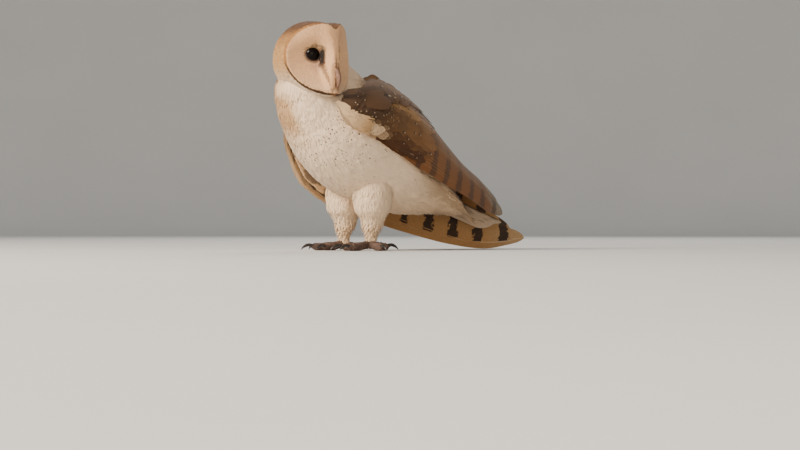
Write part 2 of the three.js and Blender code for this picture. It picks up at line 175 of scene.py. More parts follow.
def through(rows, t):
    """Catmull-Rom curve through the rows, t from 0 to 1, straight beyond its ends."""
    rows = np.asarray(rows, float)
    n = len(rows)
    pad = np.vstack([2 * rows[0] - rows[1], rows, 2 * rows[-1] - rows[-2]])
    x = np.asarray(t, float) * (n - 1)
    held = np.clip(x, 0, n - 1)
    i = np.minimum(held.astype(int), n - 2)
    f = (held - i)[..., None]
    a, b, c, d = pad[i], pad[i + 1], pad[i + 2], pad[i + 3]
    on = b + 0.5 * f * (c - a + f * (2 * a - 5 * b + 4 * c - d + f * (3 * (b - c) + d - a)))
    slope = 0.5 * (c - a + f * (2 * (2 * a - 5 * b + 4 * c - d) + 3 * f * (3 * (b - c) + d - a)))
    return on + slope * (x - held)[..., None]


# ---------- surfaces: each gives points for (u, v) at a height over the outer form ----------
def body(t, a, h):
    """Ellipse-like ring at share t of the spine: x by w sign(cos a)|cos a|^0.92, up by d sin a, both grown by
    h. Along the hollow both shrink by 0.46 exp(-((t - 0.145) / 0.06)^2) exp(-(off / reach)^2)."""
    s = through(SPINE, t)
    along = unit(through(SPINE[:, :3], t + 0.002) - through(SPINE[:, :3], t - 0.002))
    up = np.stack([np.zeros_like(along[..., 0]), -along[..., 2], along[..., 1]], -1)
    wide = np.maximum(s[..., 3], 3) + h
    deep = np.where(np.sin(a) > 0, s[..., 5], s[..., 4])
    deep = np.maximum(deep, 2) + h
    side = np.sign(np.cos(a)) * np.abs(np.cos(a)) ** 0.92
    off = np.mod(a - HOLLOW_START - HOLLOW_TURN * (t - HOLLOW_AT) + math.pi, TWO_PI) - math.pi
    across = np.exp(-((off / np.where(off > 0, HOLLOW_ABOVE, HOLLOW_BELOW)) ** 2))
    out = 1 - HOLLOW_DEPTH * across * np.exp(-(((t - HOLLOW_AT) / HOLLOW_REACH) ** 2))
    p = s[..., :3] + up * (deep * np.sin(a) * out)[..., None]
    p[..., 0] += wide * side * out
    return p


def rim_radius(angle):
    """Heart outline: superellipse of power 2.25 above and 2.15 below, less a Gaussian notch at the top."""
    c, s = np.abs(np.cos(angle)), np.sin(angle)
    power = np.where(s > 0, 2.25, 2.15)
    high = np.where(s > 0, DISC_TOP, DISC_BOTTOM)
    r = ((c / DISC_SIDE) ** power + (np.abs(s) / high) ** power) ** (-1 / power)
    from_top = np.arctan2(c, s)
    return r * (1 - DISC_NOTCH * np.exp(-((from_top / 0.24) ** 2)))


def face_forward(side, share, up):
    """How far the face stands forward: crest, set back a little at brow and chin, less 32.5 (|side|/41)^1.5,
    less a dish that fades at ridge, rim and brow. Round each eye a low cone rises out of the dish, tilted
    outwards: 5.4 - 0.36 out - 0.8 (r - 7) over the ball's centre. The higher of the two counts, rounded as
    (a + b + sqrt((a - b)^2 + 2)) / 2."""
    crest = CREST - BROW_BACK * smooth(-4, 28, up) - CHIN_BACK * smooth(-20, -38, up)
    wrap = crest - SET_BACK * (np.abs(side) / DISC_SIDE) ** 1.5
    brow = smooth(2, 26, up)
    dish = DISH * (1 - 0.8 * brow) * smooth(2.6 + 1.5 * brow, 11 + 7 * brow, np.abs(side))
    floor = wrap - dish * (1 - np.minimum(share, 1) ** 2)
    out = np.abs(side) - EYE_SIDE
    cone = EYE_FORWARD + 5.4 - 0.36 * out - 0.8 * np.maximum(np.hypot(out, up - EYE_UP) - 7, 0)
    return (floor + cone + np.sqrt((floor - cone) ** 2 + 2)) / 2


def in_head(forward, side, up):
    """The head's frame: forward is +X, the owl's right is -Y, up is +Z."""
    return HEAD + np.stack(np.broadcast_arrays(forward, -np.asarray(side, float), up), -1)


def face(side, up, h):
    """The face over its own side and up coordinates, in mm, grown about the head's centre by h / 40."""
    share = np.hypot(side, up) / rim_radius(np.arctan2(up, side))
    scale = 1 + h / 40
    return in_head(face_forward(side, share, up) * scale, side * scale, up * scale)


def crown(t, angle, h):
    """Back of the head: polar turn from pi at t = 0 to the rim at t = 1, reach blending into an ellipsoid."""
    rim = rim_radius(angle)
    forward = face_forward(rim * np.cos(angle), 1.0, rim * np.sin(angle))
    turn = lerp(math.pi, np.arctan2(rim, forward), t)
    f = np.cos(turn)
    s = np.sin(turn) * np.cos(angle)
    z = np.sin(turn) * np.sin(angle)
    skull = 1 / np.sqrt((f / SKULL_FORWARD) ** 2 + (s / SKULL_SIDE) ** 2 + (z / SKULL_UP) ** 2)
    reach = lerp(np.hypot(forward, rim), skull, smooth(0, 0.27, 1 - t)) + h
    return in_head(f * reach, s * reach, z * reach)


def wing_sheet(stations):
    """Outer sheet of a folded wing: straight from low to high edge, bowed out by bulge sin(pi v)^0.85."""
    side = np.sign(stations[0, 0])

    def sheet(u, v, h):
        u, v = np.broadcast_arrays(np.asarray(u, float), np.asarray(v, float))
        row = through(stations, u)
        low, high = row[..., :3], row[..., 3:6]
        ahead = through(stations[:, :3], u + 0.004) - through(stations[:, :3], u - 0.004)
        out = unit(np.cross(ahead, high - low))
        out = out * np.where(out[..., :1] * side < 0, -1.0, 1.0)
        bow = np.sin(math.pi * np.clip(v, 0.0, 1.0)) ** 0.85
        lifted = np.maximum(row[..., 6], 1) * bow + h
        return low + (high - low) * v[..., None] + out * lifted[..., None]

    return sheet


left_sheet, right_sheet = wing_sheet(LEFT_WING), wing_sheet(RIGHT_WING)


def tail_sheet(u, v, h):
    """Tail fan: v from 0 to 1 across, sides sagging by 3 (2v - 1)^2 and rolled, h along the fan's normal."""
    u, v = np.broadcast_arrays(np.asarray(u, float), np.asarray(v, float))
    across = 2 * v - 1
    half = lerp(TAIL_HALF_ROOT, TAIL_HALF_TIP, u)
    p = TAIL_ROOT + (TAIL_TIP - TAIL_ROOT) * u[..., None]
    p = p + np.stack([half * across, 0 * across, -3 * across**2 - TAIL_ROLL * half * across], -1)
    return p + np.array([0.0, 0.34, 0.94]) * np.asarray(h, float)[..., None]


def leg_tube(side):
    """Thigh and shank: circles of the station radius plus h round a nearly upright line."""

    def tube(s, a, h):
        s, a = np.broadcast_arrays(np.asarray(s, float), np.asarray(a, float))
        row = through(LEG, s)
        r = row[..., 2] + h
        x = side * LEG_SIDE + r * np.cos(a)
        y = LEG_Y + row[..., 0] - r * np.sin(a)
        return np.stack([x, y, row[..., 1] + 0 * r], -1)

    return tube


# ---------- meshes ----------
def grid_faces(rows, columns, wrap=False):
    """Quads of a rows x columns grid of points, joined round if wrap."""
    last = columns if wrap else columns - 1
    i, j = np.meshgrid(np.arange(rows - 1), np.arange(last), indexing="ij")
    k = (j + 1) % columns
    low, high = i * columns, (i + 1) * columns
    return np.stack([low + j, low + k, high + k, high + j], -1).reshape(-1, 4)


def make_mesh(name, points, faces, material=None):
    """A mesh in metres from points in mm and equal-sided faces, both as arrays."""
    points = (np.asarray(points, float).reshape(-1, 3) + SHIFT) * 0.001
    faces = np.asarray(faces)
    mesh = bpy.data.meshes.new(name)
    mesh.vertices.add(len(points))
    mesh.vertices.foreach_set("co", points.ravel())
    mesh.loops.add(faces.size)
    mesh.loops.foreach_set("vertex_index", faces.ravel().astype(np.int32))
    mesh.polygons.add(len(faces))
    mesh.polygons.foreach_set("loop_start", np.arange(0, faces.size, faces.shape[1], dtype=np.int32))
    mesh.update(calc_edges=True)
    mesh.polygons.foreach_set("use_smooth", np.ones(len(faces), bool))
    obj = bpy.data.objects.new(name, mesh)
    bpy.context.scene.collection.objects.link(obj)
    if material:
        mesh.materials.append(material)
    return obj


def hand_over(piece, slot, *nodes):
    """The piece rides the owl and stands for its nodes. Its slot is not used."""
    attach(piece, "root")
    if nodes:
        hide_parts(*nodes)


def close_rings(rings, first, last):
    """Points and triangles of joined rings, with a fan to a point at each end."""
    count, ring = rings.shape[:2]
    quads = grid_faces(count, ring, wrap=True)
    n = count * ring
    j = np.arange(ring)
    k = (j + 1) % ring
    start = np.stack([np.full(ring, n), k, j], -1)
    end = np.stack([np.full(ring, n + 1), n - ring + j, n - ring + k], -1)
    faces = np.vstack([quads[:, [0, 1, 2]], quads[:, [0, 2, 3]], start, end])
    return np.vstack([rings.reshape(-1, 3), first, last]), faces


def closed_tube(surface, us, ring):
    """A tube over the given u, closed at the middle of its end rings."""
    u, v = np.meshgrid(us, np.arange(ring) / ring * TWO_PI, indexing="ij")
    rings = surface(u, v)
    return close_rings(rings, rings[0].mean(0), rings[-1].mean(0))


def join(parts):
    """Several (points, faces) as one."""
    offset, points, faces = 0, [], []
    for p, f in parts:
        points.append(p)
        faces.append(f + offset)
        offset += len(p)
    return np.vstack(points), np.vstack(faces)


ATTRIBUTE_KINDS = {1: ("FLOAT", "value"), 3: ("FLOAT_VECTOR", "vector"), 4: ("FLOAT_COLOR", "color")}


def set_attributes(obj, **values):
    """Writes per-point attributes: three columns as a vector, four as a colour, one as a number."""
    for name, value in values.items():
        value = np.asarray(value, float)
        kind, field = ATTRIBUTE_KINDS[value.size // len(value)]
        obj.data.attributes.new(name, kind, "POINT").data.foreach_set(field, value.ravel())


def set_map(obj, uv):
    """Writes the bake map from one place per point."""
    layer = obj.data.uv_layers.new(name="OFBake")
    index = np.empty(len(obj.data.loops), np.int32)
    obj.data.loops.foreach_get("vertex_index", index)
    layer.data.foreach_set("uv", uv[index].ravel())


# ---------- laying feathers ----------
def slopes(surface, u, v):
    """Derivatives of a surface in u and in v, by central differences."""
    e = SLOPE_STEP
    pu = (surface(u + e, v, 0.0) - surface(u - e, v, 0.0)) / (2 * e)
    pv = (surface(u, v + e, 0.0) - surface(u, v - e, 0.0)) / (2 * e)
    return pu, pv


def outward(surface, uv, faces):
    """Faces wound so that their fronts look away from the body: reversed where du x dv points outwards."""
    u, v = uv[:1].T
    pu, pv = slopes(surface, u, v)
    out = surface(u, v, 1.0) - surface(u, v, 0.0)
    return faces[:, ::-1] if (np.cross(pu, pv) * out).sum() > 0 else faces


def roots(surface, u_span, v_span, along, across, jitter=0.3, h=0.0):
    """Staggered rows on a surface: rows `along` mm apart by arc length in u, roots `across` mm apart in v."""
    u0, u1 = u_span
    v0, v1 = v_span
    us = np.linspace(u0, u1, 200)
    mid = surface(us[:, None], np.linspace(v0, v1, 9)[None], h)
    run = np.concatenate([[0], np.cumsum(np.linalg.norm(np.diff(mid, axis=0), axis=-1).mean(1))])
    count = max(int(run[-1] / along), 1)
    rows = np.interp((np.arange(count) + 0.5) / count * run[-1], run, us)
    found = []
    vs = np.linspace(v0, v1, 160)
    for k, u in enumerate(rows):
        line = surface(np.full_like(vs, u), vs, h)
        arc = np.concatenate([[0], np.cumsum(np.linalg.norm(np.diff(line, axis=0), axis=-1))])
        n = max(int(arc[-1] / across), 1)
        place = (np.arange(n) + 0.25 + 0.5 * (k % 2) + jitter * RNG.normal(size=n) * 0.5) / n * arc[-1]
        v = np.interp(np.clip(place, 0, arc[-1]), arc, vs)
        found.append(np.stack([u + jitter * RNG.normal(size=n) * 0.5 * (u1 - u0) / count, v], -1))
    return np.vstack(found)


def lie(surface, uv, heading):
    """Steps in (u, v) that move 1 mm along the heading and 1 mm to its side, from the surface's metric."""
    pu, pv = slopes(surface, *uv.T)
    first = unit(pu)
    second = np.cross(unit(np.cross(pu, pv)), first)
    c, s = np.cos(heading)[:, None], np.sin(heading)[:, None]
    steps = []
    a, b, g = (pu * pu).sum(-1), (pu * pv).sum(-1), (pv * pv).sum(-1)
    det = np.maximum(a * g - b * b, 1e-6)
    for way in (c * first + s * second, c * second - s * first):
        x, y = (way * pu).sum(-1), (way * pv).sum(-1)
        steps.append(np.stack([(g * x - b * y) / det, (a * y - b * x) / det], -1))
    return steps


def per_root(value, like):
    """A number, or one per root, as an array that works against one with a first axis of roots."""
    return np.broadcast_to(np.asarray(value, float), len(like)).reshape((-1,) + (1,) * (like.ndim - 1))


def ahead_and_aside(surface, uv, heading, forward, across):
    """(u, v) of points forward and across from their roots, in mm, along each root's own heading."""
    ahead, aside = lie(surface, uv, np.broadcast_to(np.asarray(heading, float), len(uv)))
    move = lambda k: (per_root(uv[:, k], forward) + forward * per_root(ahead[:, k], forward)
                      + across * per_root(aside[:, k], forward))
    return move(0), move(1)


def as_set(surface, uv, points, **values):
    """Grids of points as one set of feathers: points, faces, each point's feather and each point's values."""
    rows, columns = points.shape[-3:-1]
    block = rows * columns
    count = points.size // (3 * block)
    faces = (grid_faces(rows, columns)[None] + (np.arange(count) * block)[:, None, None]).reshape(-1, 4)
    owner = np.repeat(np.arange(len(uv)), count // len(uv) * block)
    values = {key: np.broadcast_to(value, points.shape[:-1]).ravel() for key, value in values.items()}
    return {"points": points.reshape(-1, 3), "faces": outward(surface, uv, faces), "owner": owner, **values}


def feathers(surface, uv, heading, length, width, low, high, strips=5, rows=4, splay=0.3, ragged=0.08,
             rounded=0.22, camber=0.4, loose=0.3, ease=0.7):
    """Soft feathers as fans of tapering strips. Strip k starts at its share c of the width, leans out by
    splay c s^2 and ends at 1 - rounded c^2 of the length; the height goes from low to high as s^ease, less
    camber w^2 s."""
    n = len(uv)
    s = np.linspace(0, 1, rows + 1)[None, None, :, None]
    c = (-1 + (2 * np.arange(strips) + 1) / strips)[None, :, None, None]
    noise = lambda: RNG.normal(size=(n, strips, 1, 1))
    reach = 1 - rounded * c**2 + ragged * noise()
    spread = 0.5 + 0.5 * smooth(0, 0.5, s)
    centre = c * spread + (splay * c + 0.1 * noise()) * s**2
    half = 1.35 / strips * spread * (1 - 0.6 * smooth(0.6, 1, s))
    w = centre + half * np.array([-1.0, 1.0])
    s = s * reach + 0 * w
    u, v = ahead_and_aside(surface, uv, heading, s * per_root(length, w), w * per_root(width, w) / 2)
    rise = lerp(per_root(low, w), per_root(high, w), np.clip(s, 0, 1) ** ease) - camber * w**2 * s
    return as_set(surface, uv, surface(u, v, rise + loose * noise() * s**2), w=w, s=s)


def vanes(surface, uv, heading, length, width, low, high, rows=6, columns=4, camber=0.5, ease=0.7,
          blunt=0.62):
    """Whole vanes as grids: half width narrow at the root, full at `blunt` of the length, then an ellipse."""
    s = (np.linspace(0, 1, rows + 1) ** 0.8)[None, :, None]
    end = np.sqrt(np.clip(1 - ((s - blunt) / (1 - blunt + 0.012)) ** 2 * (s > blunt), 0, 1))
    outline = (0.45 + 0.55 * smooth(0, blunt, s)) * end
    c = np.linspace(-1, 1, columns + 1)[None, None]
    w = c * outline + np.zeros((len(uv), 1, 1))
    s = s + 0 * w
    u, v = ahead_and_aside(surface, uv, heading, s * per_root(length, w), w * per_root(width, w) / 2)
    rise = lerp(per_root(low, w), per_root(high, w), s**ease) - camber * w**2 * s
    return as_set(surface, uv, surface(u, v, rise), w=c, s=s)


# Roots and colours of the feathers laid so far, for painting the skin.
marking_points, marking_colours = [], []


def coat(name, laid, uv, place, colour, material, slot, mark=None, tip=None):
    """One coat piece. colour is one row per feather, darker by an eighth at the root as painted shade under
    the feathers that lie over it; tip is the colour it ends in. Each point keeps its place on the vane and a
    number drawn for its feather."""
    n = len(uv)
    owner, s, w = laid["owner"], laid["s"], laid["w"]
    # Painted shade: each feather is darker by an eighth at its root, where the feathers over it shade it.
    rgb = colour[owner] * (0.88 + 0.12 * smooth(0.0, 0.6, s))[:, None]
    if tip is not None:
        rgb = blend(rgb, tip[owner], smooth(0.55, 1.0, s))
    obj = make_mesh(name, laid["points"], laid["faces"], material)
    set_attributes(
        obj,
        coat=np.column_stack([np.clip(rgb, 0, 1), np.ones(len(rgb))]),
        vane=np.column_stack([w, s, RNG.random(n)[owner]]),
        mark=(np.zeros(n) if mark is None else mark)[owner],
    )
    set_map(obj, place[owner] + np.column_stack([w, s - 0.5]) * FEATHER_PATCH / 2)
    hand_over(obj, slot)
    marking_points.append(laid["points"][np.flatnonzero(np.r_[True, np.diff(owner) > 0])])
    marking_colours.append(colour)


def bake_place(uv, u_span, v_span):
    """A root's place on the surface's own unwrap, inside a 0.01 border."""
    u = (uv[:, 0] - u_span[0]) / (u_span[1] - u_span[0])
    v = (uv[:, 1] - v_span[0]) / (v_span[1] - v_span[0])
    return np.column_stack([0.01 + 0.98 * np.clip(v, 0, 1), 0.01 + 0.98 * np.clip(u, 0, 1)])


# ---------- node groups and materials ----------
def new_group(name, inputs, outputs):
    """An empty shader node group with the named sockets."""
    tree = bpy.data.node_groups.new(name, "ShaderNodeTree")
    for socket, kind, value in inputs:
        made = tree.interface.new_socket(name=socket, in_out="INPUT", socket_type=kind)
        if value is not None:
            made.default_value = value
    for socket, kind in outputs:
        tree.interface.new_socket(name=socket, in_out="OUTPUT", socket_type=kind)
    return tree, tree.nodes.new("NodeGroupInput"), tree.nodes.new("NodeGroupOutput")


def node(tree, kind, inputs=(), **settings):
    """A node with its settings, and its inputs linked or given values by name or number."""
    made = tree.nodes.new(kind)
    for key, value in settings.items():
        setattr(made, key, value)
    for key, value in dict(inputs).items():
        if isinstance(value, bpy.types.NodeSocket):
            tree.links.new(value, made.inputs[key])
        else:
            made.inputs[key].default_value = value
    return made


def maths(tree, operation, *values, clamp=False):
    """A Math node's output."""
    return node(tree, "ShaderNodeMath", enumerate(values), operation=operation, use_clamp=clamp).outputs[0]


def band(tree, value, low, high):
    """Smooth step of a value between low and high."""
    made = node(tree, "ShaderNodeMapRange", {0: value, 1: low, 2: high}, interpolation_type="SMOOTHSTEP")
    return made.outputs[0]


def mix(tree, mask, a, b, blend_type="MIX"):
    """A colour Mix node's output."""
    made = node(tree, "ShaderNodeMix", data_type="RGBA", blend_type=blend_type)
    for socket, value in (("Factor_Float", mask), ("A_Color", a), ("B_Color", b)):
        target = next(s for s in made.inputs if s.identifier == socket)
        if isinstance(value, bpy.types.NodeSocket):
            tree.links.new(value, target)
        else:
            target.default_value = value
    return next(s for s in made.outputs if s.identifier == "Result_Color")


def use(tree, group, inputs=()):
    """A placed node group."""
    return node(tree, "ShaderNodeGroup", inputs, node_tree=group)


def grain(tree, scale, detail=2.0, roughness=0.5):
    """Noise over the piece's own place."""
    place = node(tree, "ShaderNodeTexCoord").outputs["Object"]
    inputs = {"Vector": place, "Scale": scale, "Detail": detail, "Roughness": roughness}
    return node(tree, "ShaderNodeTexNoise", inputs).outputs[0]


def waves(tree, phase):
    """sin(2 pi phase)."""
    return maths(tree, "SINE", maths(tree, "MULTIPLY", phase, TWO_PI))


def build_barbs():
    """Barbs: fine slanting lines on both sides of the shaft, sin(2 pi (count s - slant |w| + noise))."""
    number = "NodeSocketFloat"
    tree, read, out = new_group(
        "barbs",
        [("Vane", "NodeSocketVector", None), ("Count", number, 26.0), ("Slant", number, 5.0)],
        [("Height", number), ("Shade", number)],
    )
    xyz = node(tree, "ShaderNodeSeparateXYZ", {0: read.outputs["Vane"]})
    along = maths(tree, "MULTIPLY", xyz.outputs[1], read.outputs["Count"])
    out_from = maths(tree, "MULTIPLY", maths(tree, "ABSOLUTE", xyz.outputs[0]), read.outputs["Slant"])
    rough = maths(tree, "MULTIPLY", grain(tree, 900.0), 1.6)
    wave = waves(tree, maths(tree, "ADD", maths(tree, "SUBTRACT", along, out_from), rough))
    height = maths(tree, "MULTIPLY_ADD", wave, 0.5, 0.5)
    tree.links.new(height, out.inputs["Height"])
    tree.links.new(maths(tree, "MULTIPLY_ADD", height, 0.16, 0.86), out.inputs["Shade"])
    return tree


def build_spot():
    """Tip spot: 1 inside an ellipse round (w, s) = (0, Place), times the mark, fading over its edge."""
    number = "NodeSocketFloat"
    tree, read, out = new_group(
        "tip_spot",
        [("Vane", "NodeSocketVector", None), ("Mark", number, 1.0), ("Place", number, 0.84),
         ("Width", number, 0.3), ("Length", number, 0.1)],
        [("Mask", number)],
    )
    xyz = node(tree, "ShaderNodeSeparateXYZ", {0: read.outputs["Vane"]})
    across = maths(tree, "DIVIDE", xyz.outputs[0], read.outputs["Width"])
    past = maths(tree, "SUBTRACT", xyz.outputs[1], read.outputs["Place"])
    along = maths(tree, "DIVIDE", past, read.outputs["Length"])
    squares = maths(tree, "ADD", maths(tree, "POWER", across, 2.0), maths(tree, "POWER", along, 2.0))
    inside = band(tree, maths(tree, "SQRT", squares), 1.25, 0.75)
    tree.links.new(maths(tree, "MULTIPLY", inside, read.outputs["Mark"]), out.inputs["Mask"])
    return tree


def build_mottle():
    """Mottle: noise over the piece's own place, sharpened, for freckled and marbled finishes."""
    number = "NodeSocketFloat"
    inputs = [("Scale", number, 400.0), ("Low", number, 0.45), ("High", number, 0.6)]
    tree, read, out = new_group("mottle", inputs, [("Mask", number)])
    noise = grain(tree, read.outputs["Scale"], 3.0, 0.62)
    tree.links.new(band(tree, noise, read.outputs["Low"], read.outputs["High"]), out.inputs["Mask"])
    return tree


BARBS, SPOT, MOTTLE = build_barbs(), build_spot(), build_mottle()


def mottle(tree, scale, low, high):
    """The mottle's mask."""
    return use(tree, MOTTLE, {"Scale": scale, "Low": low, "High": high}).outputs[0]


def new_material(name, roughness=0.8, **sockets):
    """A material with a Principled shader whose constant sockets are set here."""
    made = bpy.data.materials.new(name)
    made.use_nodes = True
    tree = made.node_tree
    tree.nodes.clear()
    shader = tree.nodes.new("ShaderNodeBsdfPrincipled")
    shader.inputs["Roughness"].default_value = roughness
    for key, value in sockets.items():
        shader.inputs[key.replace("_", " ")].default_value = value
    out = tree.nodes.new("ShaderNodeOutputMaterial")
    tree.links.new(shader.outputs[0], out.inputs[0])
    return made, tree, shader


def rgba(colour, k=1.0):
    """A colour with alpha for a socket."""
    return (*(np.clip(np.asarray(colour) * k, 0, 1)), 1.0)


def finish(tree, shader, colour, relief, strength, distance=0.0003):
    """Links the colour to the shader, and the relief as a bump."""
    tree.links.new(colour, shader.inputs["Base Color"])
    bump = node(tree, "ShaderNodeBump", {"Strength": strength, "Distance": distance, "Height": relief})
    tree.links.new(bump.outputs[0], shader.inputs["Normal"])


def laid_values(tree):
    """The colour, the place on the vane and the mark that a piece of feathers carries."""
    kinds = (("coat", "Color"), ("vane", "Vector"), ("mark", "Fac"))
    return [node(tree, "ShaderNodeAttribute", attribute_name=name).outputs[kind] for name, kind in kinds]


def barbed_finish(tree, shader, colour, barbs, bump):
    """Shades the colour by the barbs and raises them."""
    shade = node(tree, "ShaderNodeCombineColor", {k: barbs.outputs["Shade"] for k in range(3)}).outputs[0]
    finish(tree, shader, mix(tree, 1.0, colour, shade, "MULTIPLY"), barbs.outputs["Height"], bump)


def plumage_material(name, count, slant, bump, fleck=None, fleck_colour=None, spots=(), sheen=0.15):
    """Feather finish: the laid colour, barb shading and bump, mottling towards a colour, and spots at the
    tips, each given by its place along the vane, width, length and colour."""
    made, tree, shader = new_material(name, 0.78, Sheen_Weight=sheen, Specular_IOR_Level=0.25)
    colour, vane, mark = laid_values(tree)
    barbs = use(tree, BARBS, {"Vane": vane, "Count": count, "Slant": slant})
    if fleck:
        *pattern, strength = fleck
        mask = maths(tree, "MULTIPLY", mottle(tree, *pattern), strength)
        colour = mix(tree, mask, colour, rgba(fleck_colour))
    for place, width, length, tone in spots:
        inputs = {"Vane": vane, "Mark": mark, "Place": place, "Width": width, "Length": length}
        colour = mix(tree, use(tree, SPOT, inputs).outputs[0], colour, rgba(tone))
    barbed_finish(tree, shader, colour, barbs, bump)
    return made


# Plumage colours: those that blend over the whole bird, then those of single places.
WHITE = linear("#f6dcbd")
CREAM = linear("#dfbc92")
FACE = linear("#edbb8a")
BUFF = linear("#b4864f")
GOLD = linear("#94602c")
TAN = linear("#7c5630")
UMBER = linear("#452b14")
SEPIA = linear("#24160c")

# Dark brown of the top of the crown: partly its own colour, partly painted shade on the top of the head.
CROWN_BROWN_AND_SHADE = linear("#5c3a20")
CHEEK_PINK = linear("#d39c84")
# Brown of the painted shadow line from the eye's inner corner to the bill.
TEAR_SHADOW_BROWN = linear("#6e4629")
# Near black of the lashes round each eye and of the painted shade in each eye's inner corner.
LASH_AND_SHADE_BLACK = linear("#140b06")
BRISTLE_TAN = linear("#8a5f40")
RIM_DARK = linear("#3c2413")
RIM_BROWN = linear("#6b4022")
SHOULDER_BROWN = linear("#3d2611")
EDGE_RUST = linear("#492706")
DUSK = linear("#8d7a64")
SCAPULAR_BROWN = linear("#6c4620")
QUILL_RUST = linear("#7a4a1c")
QUILL_DUN = linear("#76512d")
QUILL_TIP = linear("#8f7f6a")
QUILL_BENEATH = linear("#d8a76c")

white_down = plumage_material("white_down", 22, 4, 0.25, spots=[(0.82, 0.17, 0.055, UMBER)], sheen=0.2)
gold_plumage = plumage_material(
    "gold_plumage", 30, 6, 0.3, fleck=(900, 0.48, 0.66, 0.45), fleck_colour=linear("#4a3a2c"),
    spots=[(0.84, 0.2, 0.06, SEPIA), (0.9, 0.13, 0.035, linear("#c4ad8c"))])
crown_plumage = plumage_material(
    "crown_plumage", 22, 4, 0.25, fleck=(420, 0.5, 0.62, 0.3), fleck_colour=linear("#7a6a58"),
    spots=[(0.86, 0.22, 0.06, SEPIA)])
face_plumage = plumage_material("face_plumage", 16, 3, 0.2, sheen=0.25)


# ---------- where the colours go ----------
def body_colour(t, a):
    """Cream below and gold above. The line between them turns with the neck, from the far side of the throat
    at the head to the mid-line of the back at the shoulders; a buff patch lies on the side of the neck."""
    dorsal = lerp(rad(180), rad(90), smooth(0.04, 0.28, t))
    away = np.abs((a - dorsal + math.pi) % TWO_PI - math.pi)
    back = 1 - smooth(rad(50), rad(76), away)
    # White turning cream towards the tail: partly the feathers' own cream, partly painted shade on the rear
    # underside.
    base = blend(WHITE, CREAM, 0.15 + 0.6 * smooth(0.48, 0.8, t))
    base = blend(base, BUFF, 0.6 * (1 - smooth(rad(60), rad(105), away)) * (1 - smooth(0.3, 0.4, t)))
    # Painted shadow: the lower flank under the near wing turns tan towards the tail, where the wing shades
    # it.
    shade_under_wing = smooth(0.5, 0.7, t) * smooth(rad(312), rad(345), a)
    base = blend(base, TAN, 0.5 * shade_under_wing)
    patch = smooth(0.85, 0.45, np.abs(a - rad(250))) * smooth(0.03, 0.1, t) * smooth(0.27, 0.18, t)
    base = blend(base, BUFF, 0.8 * patch)
    gold = blend(GOLD, TAN, smooth(0.25, 0.6, t))
    return blend(base, gold, back), back


def vary(colour, amount):
    """Each feather a little lighter or darker."""
    return np.clip(colour * (1 + amount * RNG.normal(size=(len(colour), 1))), 0, 1)


# ---------- what the wings cover ----------
def wing_cover(points, margin):
    """For each point, how far it stands outside the nearer wing's sheet (minus if inside) and the sheet's
    outward way there; far below zero where no wing lies over it. The sheet is a grid with a margin."""
    best, way = np.full(len(points), -1e3), np.zeros((len(points), 3))
    for sheet in (left_sheet, right_sheet):
        u, v = np.meshgrid(np.linspace(0, 1, 90), np.linspace(-margin, 1, 40), indexing="ij")
        near = sheet(u, v, 0.0).reshape(-1, 3)
        out = unit(sheet(u, v, 1.0).reshape(-1, 3) - near)
        edge = ((u == 0) | (u == 1) | (v == -margin) | (v == 1)).ravel()
        for start in range(0, len(points), 4000):
            p = points[start:start + 4000]
            k = ((near**2).sum(1)[None] - 2 * p @ near.T).argmin(1)
            depth = ((p - near[k]) * out[k]).sum(1)
            wins = ~edge[k] & (depth > best[start:start + 4000]) & (depth < 30)
            rows = start + np.flatnonzero(wins)
            best[rows], way[rows] = depth[wins], out[k[wins]]
    return best, way


# ---------- body coat ----------
def body_coat(name, t_span, a_span, along, across, length, width, high, loose, splay=0.15, specks=0.0):
    """Rows of soft feathers round the body, lying from the head to the tail, fuller at the back of the neck
    and low on the belly. specks is the share of feathers with a speck, or gives it for a place t."""
    uv = roots(body, t_span, a_span, along, across)
    uv = uv[wing_cover(body(*uv.T, 0.0), 0.08)[0] < -4.0]
    n = len(uv)
    t, a = uv.T
    size = 1 + 0.1 * RNG.normal(size=n)
    scruff = 3.4 * smooth(0.03, 0.08, t) * smooth(0.24, 0.16, t) * smooth(0.55, 0.2, np.abs(a - 1.15))
    hang = 6.0 * smooth(0.46, 0.54, t) * smooth(0.78, 0.66, t) * smooth(0.9, 0.4, np.abs(a - rad(270)))
    laid = feathers(body, uv, 0.1 * RNG.normal(size=n), length * size, width * size, -COAT_DEPTH["body"],
                    high + scruff + hang, strips=5, loose=loose, splay=splay, camber=0.2, ease=0.5)
    colour, back = body_colour(t, a)
    share = specks(t) if callable(specks) else specks
    mark = (RNG.random(n) < share) * (back < 0.3)
    coat(name, laid, uv, bake_place(uv, t_span, a_span), vary(colour, 0.04), white_down, "body_plumage",
         mark=mark.astype(float))


def throat_specks(t):
    """Share of feathers with a speck on the neck: none at the head, 0.14 at the breast."""
    return 0.14 * smooth(0.14, 0.2, t)


def breast_specks(t):
    """Share of feathers with a speck on the breast: most near the throat, few towards the belly."""
    return 0.05 + 0.3 * smooth(0.34, 0.28, t) + 0.12 * smooth(0.5, 0.3, t)


body_coat("coat_neck", (0.04, 0.24), (0, TWO_PI), 3.6, 3.0, 15, 6, 0.3, 0.18, specks=throat_specks)
body_coat("coat_nape", (0.22, 0.33), (rad(12), rad(182)), 3.8, 3.2, 15, 6, 0.3, 0.2)
body_coat("coat_breast", (0.22, 0.47), (rad(182), rad(372)), 4.0, 3.4, 18, 7, 0.3, 0.16, specks=breast_specks)
body_coat("coat_belly", (0.44, 0.74), (rad(186), rad(354)), 5.0, 4.2, 21, 8.5, 0.4, 0.3, splay=0.2,
          specks=0.03)
body_coat("coat_vent", (0.7, 1.0), (0, TWO_PI), 5.0, 4.2, 26, 9, 0.8, 0.8, splay=0.3)


